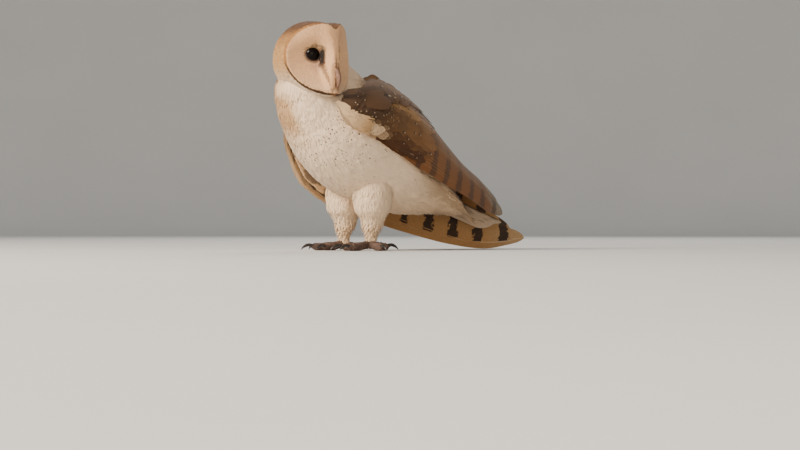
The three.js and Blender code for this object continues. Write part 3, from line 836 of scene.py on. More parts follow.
def mantle():
    """Back feathers between the wings: whole vanes with a dark and a pale spot at the tip."""
    spans = (0.3, 0.86), (rad(8), rad(172))
    uv = roots(body, *spans, 7.0, 6.2)
    uv = uv[wing_cover(body(*uv.T, 0.0), 0.0)[0] < -4]
    n = len(uv)
    size = 1 + 0.08 * RNG.normal(size=n)
    laid = vanes(body, uv, 0.08 * RNG.normal(size=n), 21 * size, 12 * size, -4.0, 0.6 + 0.3 * RNG.random(n))
    colour, back = body_colour(uv[:, 0], uv[:, 1])
    colour = blend(colour, UMBER, 0.35 * back * RNG.random(n))
    coat("coat_mantle", laid, uv, bake_place(uv, *spans), vary(colour, 0.08), gold_plumage, "wing_plumage",
         mark=(RNG.random(n) < 0.7) * back)


mantle()


# ---------- head coat ----------
def crown_coat():
    """Short feathers on the back of the head, lying from the rim of the face to the nape."""
    spans = (0.02, 0.985), (0, TWO_PI)
    uv = roots(crown, *spans, 2.6, 2.3)
    n = len(uv)
    t, angle = uv.T
    nape = smooth(0.2, -0.6, np.sin(angle)) * smooth(0.95, 0.6, t)
    laid = feathers(crown, uv, math.pi + 0.12 * RNG.normal(size=n), 9 + 2 * (1 - t) + 5 * nape, 3.6 + nape,
                    -COAT_DEPTH["head"], 0.1 + 1.2 * nape, strips=3, rows=3, loose=0.15)
    height = (crown(t, angle, 0.0) - HEAD)[:, 2] / SKULL_UP
    top = smooth(0.0, 0.8, height + 0.5 * smooth(0.7, 0.3, t))
    colour = blend(CREAM, WHITE, smooth(-0.2, -0.7, height) * smooth(0.55, 0.8, t))
    colour = blend(colour, BUFF, 0.9 * smooth(-1.0, -0.05, height + 0.7 * smooth(0.7, 0.3, t)))
    colour = blend(colour, GOLD, 0.85 * top)
    # The top of the head turns dark brown: partly the crown's own brown, partly painted shade on the top of
    # the head.
    colour = blend(colour, CROWN_BROWN_AND_SHADE, 0.95 * smooth(0.5, 0.8, height))
    coat("coat_crown", laid, uv, bake_place(uv, *spans), vary(colour, 0.07), crown_plumage, "head_plumage",
         mark=(RNG.random(n) < 0.25) * top)


crown_coat()


# Distance from the ridge of the painted shadow line from the eye's inner corner to the bill, every 6 mm down
# from -3.
TEAR_SHADOW_LINE = np.array([7.9, 7.1, 5.9, 4.6, 3.8, 3.0])
FACE_SPANS = (-44, 44), (-40, 40)  # side and up covered by the bake map, mm


def face_coat():
    """Fine feathers of the disc, lying out from each eye to the rim and fanning up and down from beside the
    bill. Their roots are spaced evenly along the face's own profile, closer where it falls to the eye."""
    across = np.linspace(0, DISC_SIDE, 500)
    profile = np.hypot(np.gradient(across), np.gradient(face_forward(across, across / DISC_SIDE, -3.0)))
    q = np.interp(np.arange(0.6, profile.sum(), 1.15), np.cumsum(profile), across)
    z, q = np.meshgrid(np.arange(-39, 38, 1.15), np.concatenate([-q[::-1], q]), indexing="ij")
    uv = np.column_stack([q.ravel(), z.ravel()])
    slack = lerp(0.1, 0.3, smooth(3, 12, np.abs(uv[:, 0])))
    uv = uv + RNG.normal(size=uv.shape) * np.stack([slack, 0.35 + 0 * slack], -1)
    share = np.hypot(uv[:, 0], uv[:, 1]) / rim_radius(np.arctan2(uv[:, 1], uv[:, 0]))
    out = np.abs(uv[:, 0]) - EYE_SIDE
    from_eye = np.hypot(out, uv[:, 1] - EYE_UP)
    opening = 7.0 + 1.4 * out / np.maximum(from_eye, 1)
    at_bill = (np.abs(uv[:, 0]) < 2.4) & (uv[:, 1] < -18) & (uv[:, 1] > -32)
    uv = uv[(share < 0.985) & ((from_eye > opening) | (out < -4.0)) & ~at_bill]
    n = len(uv)
    side = np.where(uv[:, 0] < 0, -1.0, 1.0)
    q, z = np.abs(uv[:, 0]), uv[:, 1]
    away = np.stack([uv[:, 0] - side * EYE_SIDE, z - EYE_UP], -1)
    up_and_down = lerp(-0.9, 0.95, smooth(-15, -1, z))
    ridge = np.stack([side * (0.2 + 0.6 * np.exp(-(((z + 9) / 6) ** 2))), up_and_down], -1)
    near_ridge = (1 - smooth(7.0, 11.5, q))[:, None]
    way = unit(unit(away) * (1 - near_ridge) + ridge * near_ridge)
    heading = np.arctan2(way[:, 1], way[:, 0]) + 0.08 * RNG.normal(size=n)
    from_eye = np.hypot(*away.T)
    to_rim = rim_radius(np.arctan2(z, uv[:, 0])) - np.hypot(uv[:, 0], z)
    length = lerp(2.8, 8.0, smooth(8, 26, from_eye)) * (1 + 0.1 * RNG.normal(size=n))
    length = np.minimum(length, 1.2 + to_rim)
    laid = feathers(face, uv, heading, length, 2.0, -1.2, 0.15, strips=2, rows=3, loose=0.08, splay=0.2)
    # Painted shadow: a brown line from the eye's inner corner down the ridge's flank to the bill, where the
    # face feathers meet the bill.
    line = through(TEAR_SHADOW_LINE[:, None], (-3 - z) / 30)[:, 0]
    tear_shadow = smooth(1.7, 0.5, np.abs(q - line)) * smooth(11, 6, z) * smooth(-35, -29, z)
    tear_shadow = tear_shadow * lerp(0.95, 0.75, smooth(-6, -14, z))
    colour = blend(np.broadcast_to(FACE, (n, 3)), WHITE, 0.15 * smooth(20, 34, from_eye))
    colour = blend(colour, CHEEK_PINK, 0.5 * smooth(7, 3, np.hypot(q - 12, (z + 7) * 0.9)))
    colour = blend(colour, TEAR_SHADOW_BROWN, 0.9 * tear_shadow)
    # Painted shade: near black at the eye's inner corner, in the hollow between eye and ridge. The lash ring
    # beside it is dark feather colour.
    corner_shade = smooth(2.2, 0.9, np.abs(q - 8.2)) * smooth(9, 4, z) * smooth(-12, -6, z)
    lash = smooth(1.8, 0.6, from_eye - 7.0 - 1.4 * (q - EYE_SIDE) / np.maximum(from_eye, 1)) * (q > 7)
    colour = blend(colour, LASH_AND_SHADE_BLACK, np.maximum(0.97 * corner_shade, 0.6 * lash))
    place = bake_place(uv, *FACE_SPANS)
    coat("coat_face", laid, uv, place, vary(colour, 0.04), face_plumage, "head_plumage")


face_coat()


def bristles():
    """Bristles down both sides of the bill, lying over its base and edges."""
    u, s = np.meshgrid(np.arange(-30, -6, 0.8), np.arange(2.2, 5.2, 0.5), indexing="ij")
    uv = np.column_stack([s.ravel(), u.ravel()]) + 0.2 * RNG.normal(size=(s.size, 2))
    uv = np.vstack([uv, uv * [-1, 1]])
    n = len(uv)
    side = np.sign(uv[:, 0])
    q = np.abs(uv[:, 0])
    heading = np.arctan2(-1.0, side * 0.25) + 0.1 * RNG.normal(size=n)
    laid = feathers(face, uv, heading, 5.0, 1.2, -0.8, lerp(1.6, 0.5, smooth(2, 5, q)), strips=2, rows=3,
                    loose=0.12)
    tone = blend(np.broadcast_to(FACE, (n, 3)), BRISTLE_TAN, 0.6 * smooth(5.4, 3.0, q))
    place = bake_place(uv, *FACE_SPANS)
    coat("coat_bristles", laid, uv, place, vary(tone, 0.05), face_plumage, "head_plumage")


bristles()


def ruff():
    """Stiff short feathers along the heart's edge in close rows: brown at the top, buff at the sides, and a
    thin dark line below."""
    uv = []
    for k, t in enumerate((1.0, 0.986)):
        angle = np.arange(0, TWO_PI, TWO_PI / 260) + k * 0.012
        uv.append(np.stack([np.full_like(angle, t), angle], -1))
    uv = np.vstack(uv)
    n = len(uv)
    uv = uv + RNG.normal(size=(n, 2)) * [0.0015, 0.004]
    height = np.sin(uv[:, 1])
    low = smooth(0.0, -0.4, height)
    laid = feathers(crown, uv, math.pi + 0.06 * RNG.normal(size=n), lerp(4.6, 3.8, low), 2.0, -0.8, 0.7,
                    strips=2, rows=3, loose=0.1, ease=0.4)
    faint = 1 - 0.6 * np.exp(-(((uv[:, 1] - rad(270)) / 0.1) ** 2))
    top = smooth(0.75, 0.95, height)[:, None]
    colour = blend(np.broadcast_to(BUFF, (n, 3)), GOLD, 0.5) * (1 - top) + TAN * top
    colour = blend(colour, RIM_DARK, 0.92 * low * faint)
    tip = blend(BUFF, GOLD, 0.7 + 0 * low) * (1 - top) + RIM_BROWN * top
    tip = blend(tip, RIM_DARK, 0.92 * low * faint)
    place = bake_place(uv, (0.9, 1.05), (0, TWO_PI))
    coat("coat_ruff", laid, uv, place, colour, face_plumage, "head_plumage", tip=tip)


ruff()


# ---------- wing coats ----------
def merge(layers):
    """Laid feathers of several layers as one set."""
    first, count, total = 0, 0, {k: [] for k in ("points", "faces", "owner", "w", "s")}
    for laid, uv in layers:
        for key, shift in (("points", 0), ("faces", count), ("owner", first), ("w", 0), ("s", 0)):
            total[key].append(laid[key] + shift)
        count += len(laid["points"])
        first += len(uv)
    return {k: np.concatenate(v) for k, v in total.items()}


def covert_row(sheet, spans, along, across, length, width, high, keep=None):
    """Whole vanes in staggered rows on a wing, narrower towards the leading edge, lying towards its tip."""
    uv = roots(sheet, *spans, along, across, jitter=0.2)
    if keep is not None:
        uv = uv[keep(*uv.T)]
    n = len(uv)
    size = 1 + 0.06 * RNG.normal(size=n)
    wide = width * size * lerp(0.72, 1.0, smooth(0, 0.3, uv[:, 1]))
    return vanes(sheet, uv, 0.05 * RNG.normal(size=n), length * size, wide, -COAT_DEPTH["wing"], high), uv


def arm_colour(side, u, v):
    """Dark at the shoulder, a gold streak above it, tan at the upper edge and towards the tip, rust at the
    lower edge past the wrist. The left wing has a cream shoulder edge, the right a grey-brown lower side."""
    n = len(u)
    base = blend(np.broadcast_to(TAN, (n, 3)), GOLD, 0.3 * smooth(0.2, 0.5, u))
    shoulder = smooth(0.34, 0.16, u) * smooth(0.1, 0.2, v) * smooth(0.8, 0.55, v)
    base = blend(base, SHOULDER_BROWN, 0.9 * shoulder)
    streak = smooth(0.11, 0.03, np.abs(v - 0.52 - 0.1 * (0.3 - u)))
    streak = streak * smooth(0.13, 0.2, u) * smooth(0.42, 0.34, u)
    base = blend(base, BUFF, 0.75 * streak)
    base = blend(base, BUFF, 0.4 * smooth(0.66, 0.88, v) * smooth(0.05, 0.15, u))
    base = blend(base, EDGE_RUST, 0.95 * smooth(0.24, 0.1, v) * smooth(0.2, 0.27, u))
    if side > 0:
        return blend(base, CREAM, 0.9 * smooth(0.18, 0.12, v) * smooth(0.26, 0.2, u))
    return blend(base, DUSK, 0.8 * smooth(0.32, 0.16, v))


def scapular_ends(u, v):
    """True where a feather 0.09 of the wing long ends above the line v = 0.58 + 1.15 (u - 0.3)."""
    return v > 0.58 + 1.15 * (u + 0.09 - 0.3)


def wing_coat(name, side, sheet):
    """Lesser, median, greater and primary coverts with the scapulars over them as one piece, and the soft
    pale feathers of the leading edge as another."""
    layers = [
        covert_row(sheet, ((0.0, 0.27), (0.04, 1.0)), 5.0, 4.8, 15, 8.5, 0.3),
        covert_row(sheet, ((0.25, 0.36), (0.05, 1.0)), 8, 7, 24, 12, 0.5),
        covert_row(sheet, ((0.34, 0.42), (0.16, 1.0)), 13, 8.5, 38, 14, 0.3),
        covert_row(sheet, ((0.25, 0.36), (0.04, 0.2)), 10, 5, 40, 11, 0.4),
        covert_row(sheet, ((0.06, 0.5), (0.45, 1.0)), 7.5, 7, 30, 15, 2.6, keep=scapular_ends),
    ]
    laid = merge(layers)
    uv = np.vstack([layer[1] for layer in layers])
    colour = arm_colour(side, *uv.T)
    scapulars = np.arange(len(uv)) >= len(uv) - len(layers[-1][1])
    scapular_tone = np.broadcast_to(SCAPULAR_BROWN, colour.shape)
    scapular_tone = blend(scapular_tone, colour, 0.35 + 0.35 * RNG.random(len(uv)))
    colour = np.where(scapulars[:, None], scapular_tone, colour)
    mark = (RNG.random(len(uv)) < 0.45).astype(float)
    place = bake_place(uv, (-0.02, 0.52), (-0.05, 1.08))
    coat(name, laid, uv, place, vary(colour, 0.07), gold_plumage, "wing_plumage", mark=mark)

    uv = roots(sheet, (-0.02, 0.125 if side > 0 else 0.36), (0.0, 0.15), 3.6, 2.4)
    n = len(uv)
    edge = feathers(sheet, uv, 0.05 * RNG.normal(size=n), 20, 7.5, -1.0, 0.9, strips=5, loose=0.2, splay=0.1)
    inner = smooth(0.05, 0.12, uv[:, 0])
    tone = blend(np.broadcast_to(CREAM, (n, 3)), BUFF, 0.05 + 0.5 * inner * (side > 0))
    end = blend(tone, BUFF, 0.3 + 0.3 * inner)
    place = bake_place(uv, (-0.02, 0.4), (0, 0.12))
    coat(name + "_edge", edge, uv, place, vary(tone, 0.03), white_down, "wing_plumage", tip=end)


wing_coat("coat_wing_left", 1, left_sheet)
wing_coat("coat_wing_right", -1, right_sheet)


# ---------- quills ----------
def quill_material(name, ground, bar, bars, shaft, under):
    """Flight feathers: laid colour, paler beneath, a pale shaft, and bars across the whole wing by its own
    length, left off the narrow outer web beneath."""
    made, tree, shader = new_material(name, 0.6, Sheen_Weight=0.1, Specular_IOR_Level=0.3)
    base, vane, mark = laid_values(tree)
    beneath = node(tree, "ShaderNodeNewGeometry").outputs["Backfacing"]
    base = mix(tree, maths(tree, "MULTIPLY", beneath, 0.6), base, rgba(under))
    across, _, along = node(tree, "ShaderNodeSeparateXYZ", {0: vane}).outputs
    barbs = use(tree, BARBS, {"Vane": vane, "Count": 90.0, "Slant": 9.0})
    wobble = maths(tree, "MULTIPLY", mottle(tree, 160.0, 0.3, 0.7), 0.16)
    wave = waves(tree, maths(tree, "MULTIPLY_ADD", along, bars, wobble))
    mask = maths(tree, "MULTIPLY", band(tree, wave, 0.3, 0.6), mark)
    hidden = maths(tree, "MULTIPLY", band(tree, across, 0.08, -0.02), beneath)
    mask = maths(tree, "MULTIPLY", mask, maths(tree, "SUBTRACT", 1.0, hidden))
    colour = mix(tree, mask, base, rgba(bar))
    fleck = maths(tree, "MULTIPLY", mottle(tree, 700.0, 0.52, 0.62), 0.3)
    colour = mix(tree, fleck, colour, rgba(ground, 0.5))
    line = band(tree, maths(tree, "ABSOLUTE", across), 0.09, 0.03)
    line = maths(tree, "MULTIPLY", line, maths(tree, "MULTIPLY_ADD", beneath, 0.65, 0.1))
    barbed_finish(tree, shader, mix(tree, line, colour, rgba(shaft)), barbs, 0.3)
    return made


quill_finish = quill_material("quills", GOLD, SEPIA, 12.0, CREAM, QUILL_BENEATH)
tail_finish = quill_material("tail_quills", CREAM, UMBER, 5.0, CREAM, WHITE)


def quills(sheet, starts, ends, widths, heights, lean=0.42, rows=30, columns=6):
    """Long vanes on a sheet, each shaft from its start (u, v) to its end (u, v), across by its width. The
    half width opens over the first quarter and closes as an ellipse over the last seventh; the lower web is
    narrower by the lean and the upper one wider."""
    s = (1 - (1 - np.linspace(0, 1, rows + 1)) ** 1.35)[None, :, None]
    c = np.linspace(-1, 1, columns + 1)[None, None]
    close = np.sqrt(np.clip(1 - (np.clip(s - 0.86, 0, 1) / 0.142) ** 2, 0, 1))
    outline = (0.35 + 0.65 * smooth(0, 0.25, s)) * close
    u, v = (lerp(starts[:, k, None, None], ends[:, k, None, None], s) for k in (0, 1))
    pu, pv = slopes(sheet, u, v)
    scale_v = np.linalg.norm(pv - unit(pu) * (pv * unit(pu)).sum(-1, keepdims=True), axis=-1)
    v = v + (c + lean * np.abs(c)) * widths[:, None, None] / 2 * outline / scale_v
    u = u + 0 * v
    h = heights[:, None, None] - 0.5 * c**2 * outline
    return as_set(sheet, starts, sheet(u, v, h + 0 * v), w=c, s=s, bar=u)


def quill_piece(name, laid, n, colour, material, slot, mark, nodes, tip=None):
    """Flight feathers as one piece, each with a strip of its own on the bake map."""
    owner, s, w = laid["owner"], laid["s"], laid["w"]
    rgb = colour[owner]
    if tip is not None:
        rgb = blend(rgb, tip[owner], smooth(0.86, 1.0, s))
    obj = make_mesh(name, laid["points"], laid["faces"], material)
    set_attributes(obj, coat=np.column_stack([np.clip(rgb, 0, 1), np.ones(len(rgb))]),
                   vane=np.column_stack([w, s, laid["bar"]]), mark=mark[owner])
    set_map(obj, np.column_stack([(owner + 0.5 + 0.42 * w) / n, 0.02 + 0.96 * s]))
    hand_over(obj, slot, *nodes)


def wing_quills(name, sheet, nodes, faint):
    """Ten primaries along the lower edge and thirteen secondaries above them, the innermost on top."""
    k = np.arange(10) / 9
    p_start = np.column_stack([0.26 + 0 * k, lerp(0.06, 0.34, k)])
    p_end = np.column_stack([lerp(1.0, 0.9, k**1.5), lerp(0.1, 0.45, k)])
    p_end[:2, 0] = 0.955, 0.985
    j = np.arange(13) / 12
    s_start = np.column_stack([lerp(0.34, 0.3, j), lerp(0.3, 0.92, j)])
    s_end = np.column_stack([lerp(0.955, 0.84, j**1.5), lerp(0.5, 0.8, j**0.6)])
    starts, ends = np.vstack([p_start, s_start]), np.vstack([p_end, s_end])
    widths = np.concatenate([lerp(24, 21, k), lerp(20, 17, j)])
    heights = np.concatenate([lerp(-3.2, -2.2, k), lerp(-2.0, -0.2, j)])
    laid = quills(sheet, starts, ends, widths, heights)
    n = len(starts)
    dun = blend(np.broadcast_to(QUILL_DUN, (13, 3)), GOLD, 0.35 * (1 - j))
    colour = np.vstack([np.broadcast_to(QUILL_RUST, (10, 3)), dun])
    tip = np.broadcast_to(QUILL_TIP, (n, 3))
    mark = np.concatenate([0.5 + 0.5 * faint + 0 * k, faint + 0 * j])
    quill_piece(name, laid, n, vary(colour, 0.05), quill_finish, "wing_plumage", mark, nodes, tip)


wing_quills("quills_left", left_sheet, ["wing_left_primaries", "wing_left_secondaries"], 0.25)
wing_quills("quills_right", right_sheet, ["wing_right_primaries", "wing_right_secondaries"], 0.9)


def tail():
    """Ten tail feathers, closed one over the other, the middle pair on top."""
    n = 10
    k = np.linspace(-1, 1, n)
    starts = np.column_stack([0 * k + 0.05, 0.5 + 0.3 * k])
    ends = np.column_stack([0.985 - 0.02 * np.abs(k), 0.5 + 0.22 * k])
    laid = quills(tail_sheet, starts, ends, np.full(n, 23.0), 0.4 - 3.0 * np.abs(k), lean=0.0)
    colour = blend(np.broadcast_to(CREAM, (n, 3)), BUFF, 0.5 * (1 - np.abs(k)))
    quill_piece("tail_fan", laid, n, colour, tail_finish, "tail_plumage", 0.3 + 0 * k, ["tail"],
                np.broadcast_to(WHITE, (n, 3)))


tail()


# ---------- legs ----------
def leg_coat(name, side):
    """Soft feathers down the leg, longest and fullest on the thigh, short and close on the shank."""
    tube = leg_tube(side)
    spans = (0.02, 0.985), (0, TWO_PI)
    uv = roots(tube, *spans, 3.0, 2.6)
    n = len(uv)
    thin = smooth(0.35, 0.7, uv[:, 0])
    puff = smooth(0.1, 0.35, uv[:, 0]) * smooth(0.8, 0.6, uv[:, 0])
    laid = feathers(tube, uv, 0.16 * RNG.normal(size=n), lerp(18, 7, thin), lerp(7, 3.2, thin),
                    -COAT_DEPTH["leg"], 0.3 + 3.6 * puff, strips=4, rows=3, loose=0.5, ragged=0.12)
    colour = vary(blend(np.broadcast_to(WHITE, (n, 3)), CREAM, 0.4 + 0.3 * thin), 0.04)
    coat(f"coat_leg_{name}", laid, uv, bake_place(uv, *spans), colour, white_down, "leg_plumage")


leg_coat("left", 1)
leg_coat("right", -1)


# ---------- skin ----------
def head_form():
    """The head inside its coat: rings of the face from its middle to the rim, then of the crown."""
    share, angle = np.meshgrid(np.linspace(0, 1, 34)[1:], np.arange(96) / 96 * TWO_PI, indexing="ij")
    rim = share * rim_radius(angle)
    front = face(rim * np.cos(angle), rim * np.sin(angle), -FACE_DEPTH)
    back = crown(share[::-1], angle, -COAT_DEPTH["head"])
    middle = np.zeros(1)
    ends = face(middle, middle, -FACE_DEPTH), crown(middle, middle, -COAT_DEPTH["head"])
    return close_rings(np.concatenate([front, back]), *ends)


def wing_arm(stations, sheet):
    """The arm of a wing inside its coat: ovals v = 0.5 - 0.47 cos a, as thick as the wing less 2.5 mm."""
    def oval(u, a):
        half = (through(stations, u)[..., 7] - 2.5) / 2
        return sheet(u, 0.5 - 0.47 * np.cos(a), -COAT_DEPTH["wing"] - half + np.sin(a) * half)

    return closed_tube(oval, np.linspace(0.03, 0.5, 40), 48)


def skin():
    """One closed skin: body, head, thighs and the arms of the wings, each inside its coat, merged by voxels
    and then pressed in under the wings' coverts."""
    trunk = lambda u, v: body(u, v, -COAT_DEPTH["body"])
    parts = [closed_tube(trunk, np.linspace(0, 1, 60), 72), head_form()]
    for side in (1, -1):
        thigh = lambda u, v: leg_tube(side)(u, v, -COAT_DEPTH["leg"])
        parts.append(closed_tube(thigh, np.linspace(0, 1, 30), 32))
    parts += [wing_arm(LEFT_WING, left_sheet), wing_arm(RIGHT_WING, right_sheet)]
    points, faces = join(parts)
    obj = make_mesh("skin", points, faces)
    remesh = obj.modifiers.new("one skin", "REMESH")
    remesh.mode = "VOXEL"
    remesh.voxel_size = SKIN_VOXEL
    remesh.voxel_size = 0.0018
    soften = obj.modifiers.new("soften", "SMOOTH")
    soften.factor, soften.iterations = 0.5, 4
    graph = bpy.context.evaluated_depsgraph_get()
    mesh = bpy.data.meshes.new_from_object(obj.evaluated_get(graph))
    obj.modifiers.clear()
    co = np.empty(len(mesh.vertices) * 3)
    mesh.vertices.foreach_get("co", co)
    points = co.reshape(-1, 3) * 1000 - SHIFT
    depth, way = wing_cover(points, 0.03)
    points = points - way * np.maximum(depth + COAT_DEPTH["wing"], 0)[:, None]
    mesh.vertices.foreach_set("co", ((points + SHIFT) * 0.001).ravel())
    obj.data = mesh
    mesh.name = "skin"
    mesh.polygons.foreach_set("use_smooth", np.ones(len(mesh.polygons), bool))
    return obj


def paint_skin(obj):
    """Gives each point of the skin the colour of the feather rooted nearest, out of every third feather."""
    places = ((np.vstack(marking_points)[::3] + SHIFT) * 0.001).astype(np.float32)
    colours = np.vstack(marking_colours)[::3]
    at = np.empty(3 * len(obj.data.vertices), np.float32)
    obj.data.vertices.foreach_get("co", at)
    size = (places**2).sum(1)
    parts = np.array_split(at.reshape(-1, 3), len(at) // 1500 + 1)
    nearest = np.concatenate([(size - 2 * part @ places.T).argmin(1) for part in parts])
    set_attributes(obj, coat=np.column_stack([colours[nearest], np.ones(len(nearest))]))


def skin_material():
    """The painted colour with fine dark pores."""
    made, tree, shader = new_material("skin", 0.75, Specular_IOR_Level=0.25)
    base = node(tree, "ShaderNodeAttribute", attribute_name="coat").outputs["Color"]
    pores = mottle(tree, 900.0, 0.4, 0.65)
    colour = mix(tree, maths(tree, "MULTIPLY", pores, 0.25), base, rgba(linear("#7a5f49")))
    finish(tree, shader, colour, pores, 0.4, 0.0004)
    return made


skin_obj = skin()
paint_skin(skin_obj)
skin_obj.data.materials.append(skin_material())
hand_over(skin_obj, "body_plumage", "head", "neck", "trunk", "leg_left", "leg_right", "wing_left_coverts",
          "wing_right_coverts")


# ---------- eyes, lids, bill ----------
def tube_along(path, radii, shape=None):
    """Closed tube round a smooth path of points; radii run along it; shape(s, a) scales the radius."""
    path, radii = np.asarray(path, float), np.asarray(radii, float)[:, None]

    def surface(s, a):
        along = unit(through(path, s + 0.01) - through(path, s - 0.01))
        side = unit(np.cross(np.array([0.31, 0.95, 0.02]) + 0 * along, along))
        up = np.cross(along, side)
        r = through(radii, s)[..., 0]
        if shape is not None:
            r = r * shape(s, a)
        return through(path, s) + side * (r * np.cos(a))[..., None] + up * (r * np.sin(a))[..., None]

    return surface


def eye_material():
    """Near black, a little uneven in depth."""
    made, tree, shader = new_material("eye_black", 0.16, Specular_IOR_Level=0.1)
    colour = mix(tree, grain(tree, 160.0), rgba([0.002, 0.0015, 0.0015]), rgba([0.007, 0.004, 0.003]))
    tree.links.new(colour, shader.inputs["Base Color"])
    return made


def lid_material():
    """Dark skin with a fine grain."""
    made, tree, shader = new_material("lid_skin", 0.6)
    pores = mottle(tree, 1400.0, 0.4, 0.65)
    finish(tree, shader, mix(tree, pores, rgba(linear("#2c1c15")), rgba(linear("#4a3024"))), pores, 0.5)
    return made


def bill_material():
    """Pinkish horn in cloudy streaks."""
    made, tree, shader = new_material("bill_horn", 0.55, Specular_IOR_Level=0.3)
    streak = grain(tree, 260.0, 3.0)
    colour = mix(tree, band(tree, streak, 0.35, 0.7), rgba(linear("#70503e")), rgba(linear("#8b6a57")))
    finish(tree, shader, colour, streak, 0.2)
    return made


eye_black, lid_skin, bill_horn = eye_material(), lid_material(), bill_material()

# Rings of a lid from under its edge, over the rounded edge, to the shell behind it: angle past the opening,
# and height over the ball in mm.
LID_ANGLES = np.array([0.0, -0.015, 0.01, 0.05, 0.12, 0.3, 0.5])
LID_HEIGHTS = np.array([-0.3, 0.15, 0.5, 0.65, 0.6, 0.3, 0.1])


def eye(name, side):
    """A ball, and lids round it as a shell whose opening, 1 - 0.19 sin^2 a above and 1 - 0.11 |sin a| below,
    turns out with the gaze."""
    centre = in_head(EYE_FORWARD, side * EYE_SIDE, EYE_UP)

    def ball(u, a):
        ahead, out = np.cos(u * math.pi), np.sin(u * math.pi)
        return centre + EYE_RADIUS * np.stack([ahead, out * np.cos(a), out * np.sin(a)], -1)

    points, faces = closed_tube(ball, np.linspace(0.02, 0.98, 28), 40)
    hand_over(make_mesh(f"eye_ball_{name}", points, faces, eye_black), "eye", f"eye_{name}")

    gaze = np.array([math.cos(EYE_TURN), -side * math.sin(EYE_TURN), 0.0])
    aside = unit(np.cross(gaze, [0, 0, 1.0]))
    up = np.cross(aside, gaze)
    k, a = np.meshgrid(np.arange(len(LID_ANGLES)), np.arange(48) / 48 * TWO_PI, indexing="ij")
    opening = 1.0 - 0.19 * np.maximum(np.sin(a), 0) ** 2 - 0.11 * np.maximum(-np.sin(a), 0)
    angle = (opening + LID_ANGLES[k])[..., None]
    ring = np.cos(a)[..., None] * aside + np.sin(a)[..., None] * up
    shell = centre + (EYE_RADIUS + LID_HEIGHTS[k])[..., None] * (np.cos(angle) * gaze + np.sin(angle) * ring)
    hand_over(make_mesh(f"lids_{name}", shell, grid_faces(*k.shape, wrap=True), lid_skin), "toe_skin")


def bill(name, stations):
    """Half of the bill: a tube with a keel above, its radius times 1 + 0.12 cos(a)^8 - 0.3 sin(a)^2."""
    keel = lambda s, a: 1 + 0.12 * np.cos(a) ** 8 - 0.3 * np.sin(a) ** 2
    path = in_head(stations[:, 0], 0.0, stations[:, 1])
    points, faces = closed_tube(tube_along(path, stations[:, 2], keel), np.linspace(0, 1, 24), 24)
    hand_over(make_mesh(f"bill_{name}_horn", points, faces, bill_horn), "bill", f"bill_{name}")


eye("left", -1)
eye("right", 1)
bill("upper", UPPER_BILL)
bill("lower", LOWER_BILL)


# ---------- feet ----------
def toe_material():
    """Brown skin in small cells with dark raised edges."""
    made, tree, shader = new_material("toe_scales", 0.65, Specular_IOR_Level=0.3)
    place = node(tree, "ShaderNodeTexCoord").outputs["Object"]
    cells = node(tree, "ShaderNodeTexVoronoi", {"Vector": place, "Scale": 900.0}, feature="DISTANCE_TO_EDGE")
    edge = band(tree, cells.outputs[0], 0.0, 0.12)
    tone = mix(tree, mottle(tree, 160.0, 0.35, 0.7), rgba(linear("#5d4a40")), rgba(linear("#87695a")))
    finish(tree, shader, mix(tree, edge, rgba(linear("#2c211c")), tone), edge, 0.6, 0.0004)
    return made


def claw_material():
    """Dark horn in soft streaks."""
    made, tree, shader = new_material("claw_horn", 0.3, Specular_IOR_Level=0.5)
    streak = grain(tree, 420.0)
    finish(tree, shader, mix(tree, streak, rgba(linear("#171310")), rgba(linear("#3a322c"))), streak, 0.15)
    return made


toe_scales, claw_horn = toe_material(), claw_material()


def on_floor(name, tube, us, ring, material, slot, stands_for):
    """A tube cut flat at the floor."""
    points, faces = closed_tube(tube, us, ring)
    points[:, 2] = np.maximum(points[:, 2], 0.0)
    hand_over(make_mesh(name, points, faces, material), slot, stands_for)


def toe_and_claw(side_name, side, toe, turn, length):
    """A toe as a tube, its radius times 1 + 0.06 cos(18 s) for the pads and, on its upper part, plus
    0.05 sin(2.2 length s) for the scutes; and a claw as a tapering hook."""
    heading = rad(-90 + side * turn)
    ahead = np.array([math.cos(heading), math.sin(heading), 0])
    root = np.array([side * LEG_SIDE, LEG_Y, 0])
    spot = lambda out, z: root + ahead * out + np.array([0, 0, z])
    reach = 5 + length
    scutes = lambda s, a: 1 + 0.05 * np.sin(s * length * 2.2) * (np.sin(a) > -0.2) + 0.06 * np.cos(s * 18)
    path = [spot(0.5, 7), spot(5 + length * 0.3, 5.2), spot(5 + length * 0.6, 4.4),
            spot(5 + length * 0.85, 3.9), spot(reach + 0.6, 4.6)]
    on_floor(f"toe_skin_{side_name}_{toe}", tube_along(path, [4.6, 4.2, 4.4, 4.0, 2.0], scutes),
             np.linspace(0, 1, 42), 20, toe_scales, "toe_skin", f"toe_{side_name}_{toe}")
    path = [spot(reach - 1.5, 5.0), spot(reach + CLAW_LENGTH * 0.35, 6.2),
            spot(reach + CLAW_LENGTH * 0.75, 4.0), spot(reach + CLAW_LENGTH, 0.5)]
    on_floor(f"claw_horn_{side_name}_{toe}", tube_along(path, [2.2, 1.9, 1.25, 0.2]),
             np.linspace(0, 1, 18), 14, claw_horn, "claw", f"claw_{side_name}_{toe}")


for side_name, side in (("left", 1), ("right", -1)):
    for toe, (turn, length) in TOES.items():
        toe_and_claw(side_name, side, toe, turn, length)


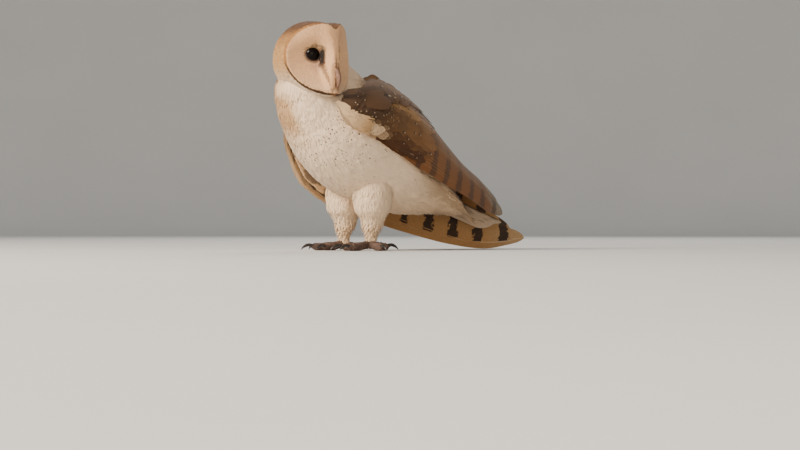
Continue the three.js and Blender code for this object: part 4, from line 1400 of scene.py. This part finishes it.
# ---------- floor, light, camera ----------
def floor():
    """A disc that bends up at its edge: flat to 0.45 of the way out, then r = 3200 + 1500 sin b and
    z = 2400 (1 - cos b), b going to a right angle."""
    made, tree, shader = new_material("pale_floor", 0.85, Specular_IOR_Level=0.2)
    colour = mix(tree, grain(tree, 3.0), rgba([0.60, 0.59, 0.57]), rgba([0.66, 0.65, 0.63]))
    tree.links.new(colour, shader.inputs["Base Color"])
    flat = 0.45
    s, a = np.meshgrid(np.linspace(0, 1, 40), np.arange(96) / 96 * TWO_PI, indexing="ij")
    bend = np.clip((s - flat) / (1 - flat), 0, 1) * math.pi / 2
    radius = np.where(s < flat, s / flat * FLOOR_FLAT, FLOOR_FLAT + FLOOR_BEND * np.sin(bend))
    height = 1.6 * FLOOR_BEND * (1 - np.cos(bend))
    points = np.stack([radius * np.cos(a), radius * np.sin(a), height], -1)
    make_mesh("floor", points, grid_faces(40, 96, wrap=True), made)


def area_light(name, place, aim, size, power, colour):
    """A square soft light at a place in metres, turned to its aim."""
    data = bpy.data.lights.new(name, "AREA")
    data.shape, data.size, data.energy, data.color = "SQUARE", size, power, colour
    obj = bpy.data.objects.new(name, data)
    obj.location = place
    obj.rotation_euler = (Vector(aim) - Vector(place)).to_track_quat("-Z", "Y").to_euler()
    bpy.context.scene.collection.objects.link(obj)


def studio():
    """Pale light from everywhere, a warm key from the front, and a weak fill and rim."""
    area_light("key", (-0.15, -2.2, 1.35), (0, -0.05, 0.12), 0.8, 112, (1.0, 0.89, 0.75))
    area_light("fill", (1.8, -1.5, 0.35), (0, 0, 0.1), 1.4, 20, (1.0, 0.9, 0.78))
    area_light("rim", (-1.2, 1.4, 1.5), (0, 0, 0.12), 0.9, 18, (1.0, 0.95, 0.9))
    world = bpy.data.worlds.new("studio")
    world.use_nodes = True
    colour, strength = world.node_tree.nodes["Background"].inputs[:2]
    colour.default_value = (0.9, 0.95, 1.0, 1)
    strength.default_value = 0.4
    bpy.context.scene.world = world


def camera():
    """A level camera that looks back at the owl from its turn and range."""
    look = Vector((-math.sin(rad(CAMERA_TURN)), math.cos(rad(CAMERA_TURN)), 0))
    obj = bpy.data.objects.new("camera", bpy.data.cameras.new("camera"))
    obj.data.sensor_width = 36
    obj.data.lens = CAMERA_LENS
    obj.data.clip_end = 30
    obj.location = Vector((0, SHIFT[1] * 0.001, CAMERA_HEIGHT)) - look * CAMERA_RANGE
    obj.rotation_euler = look.to_track_quat("-Z", "Y").to_euler()
    bpy.context.scene.collection.objects.link(obj)
    bpy.context.scene.camera = obj


floor()
studio()
camera()
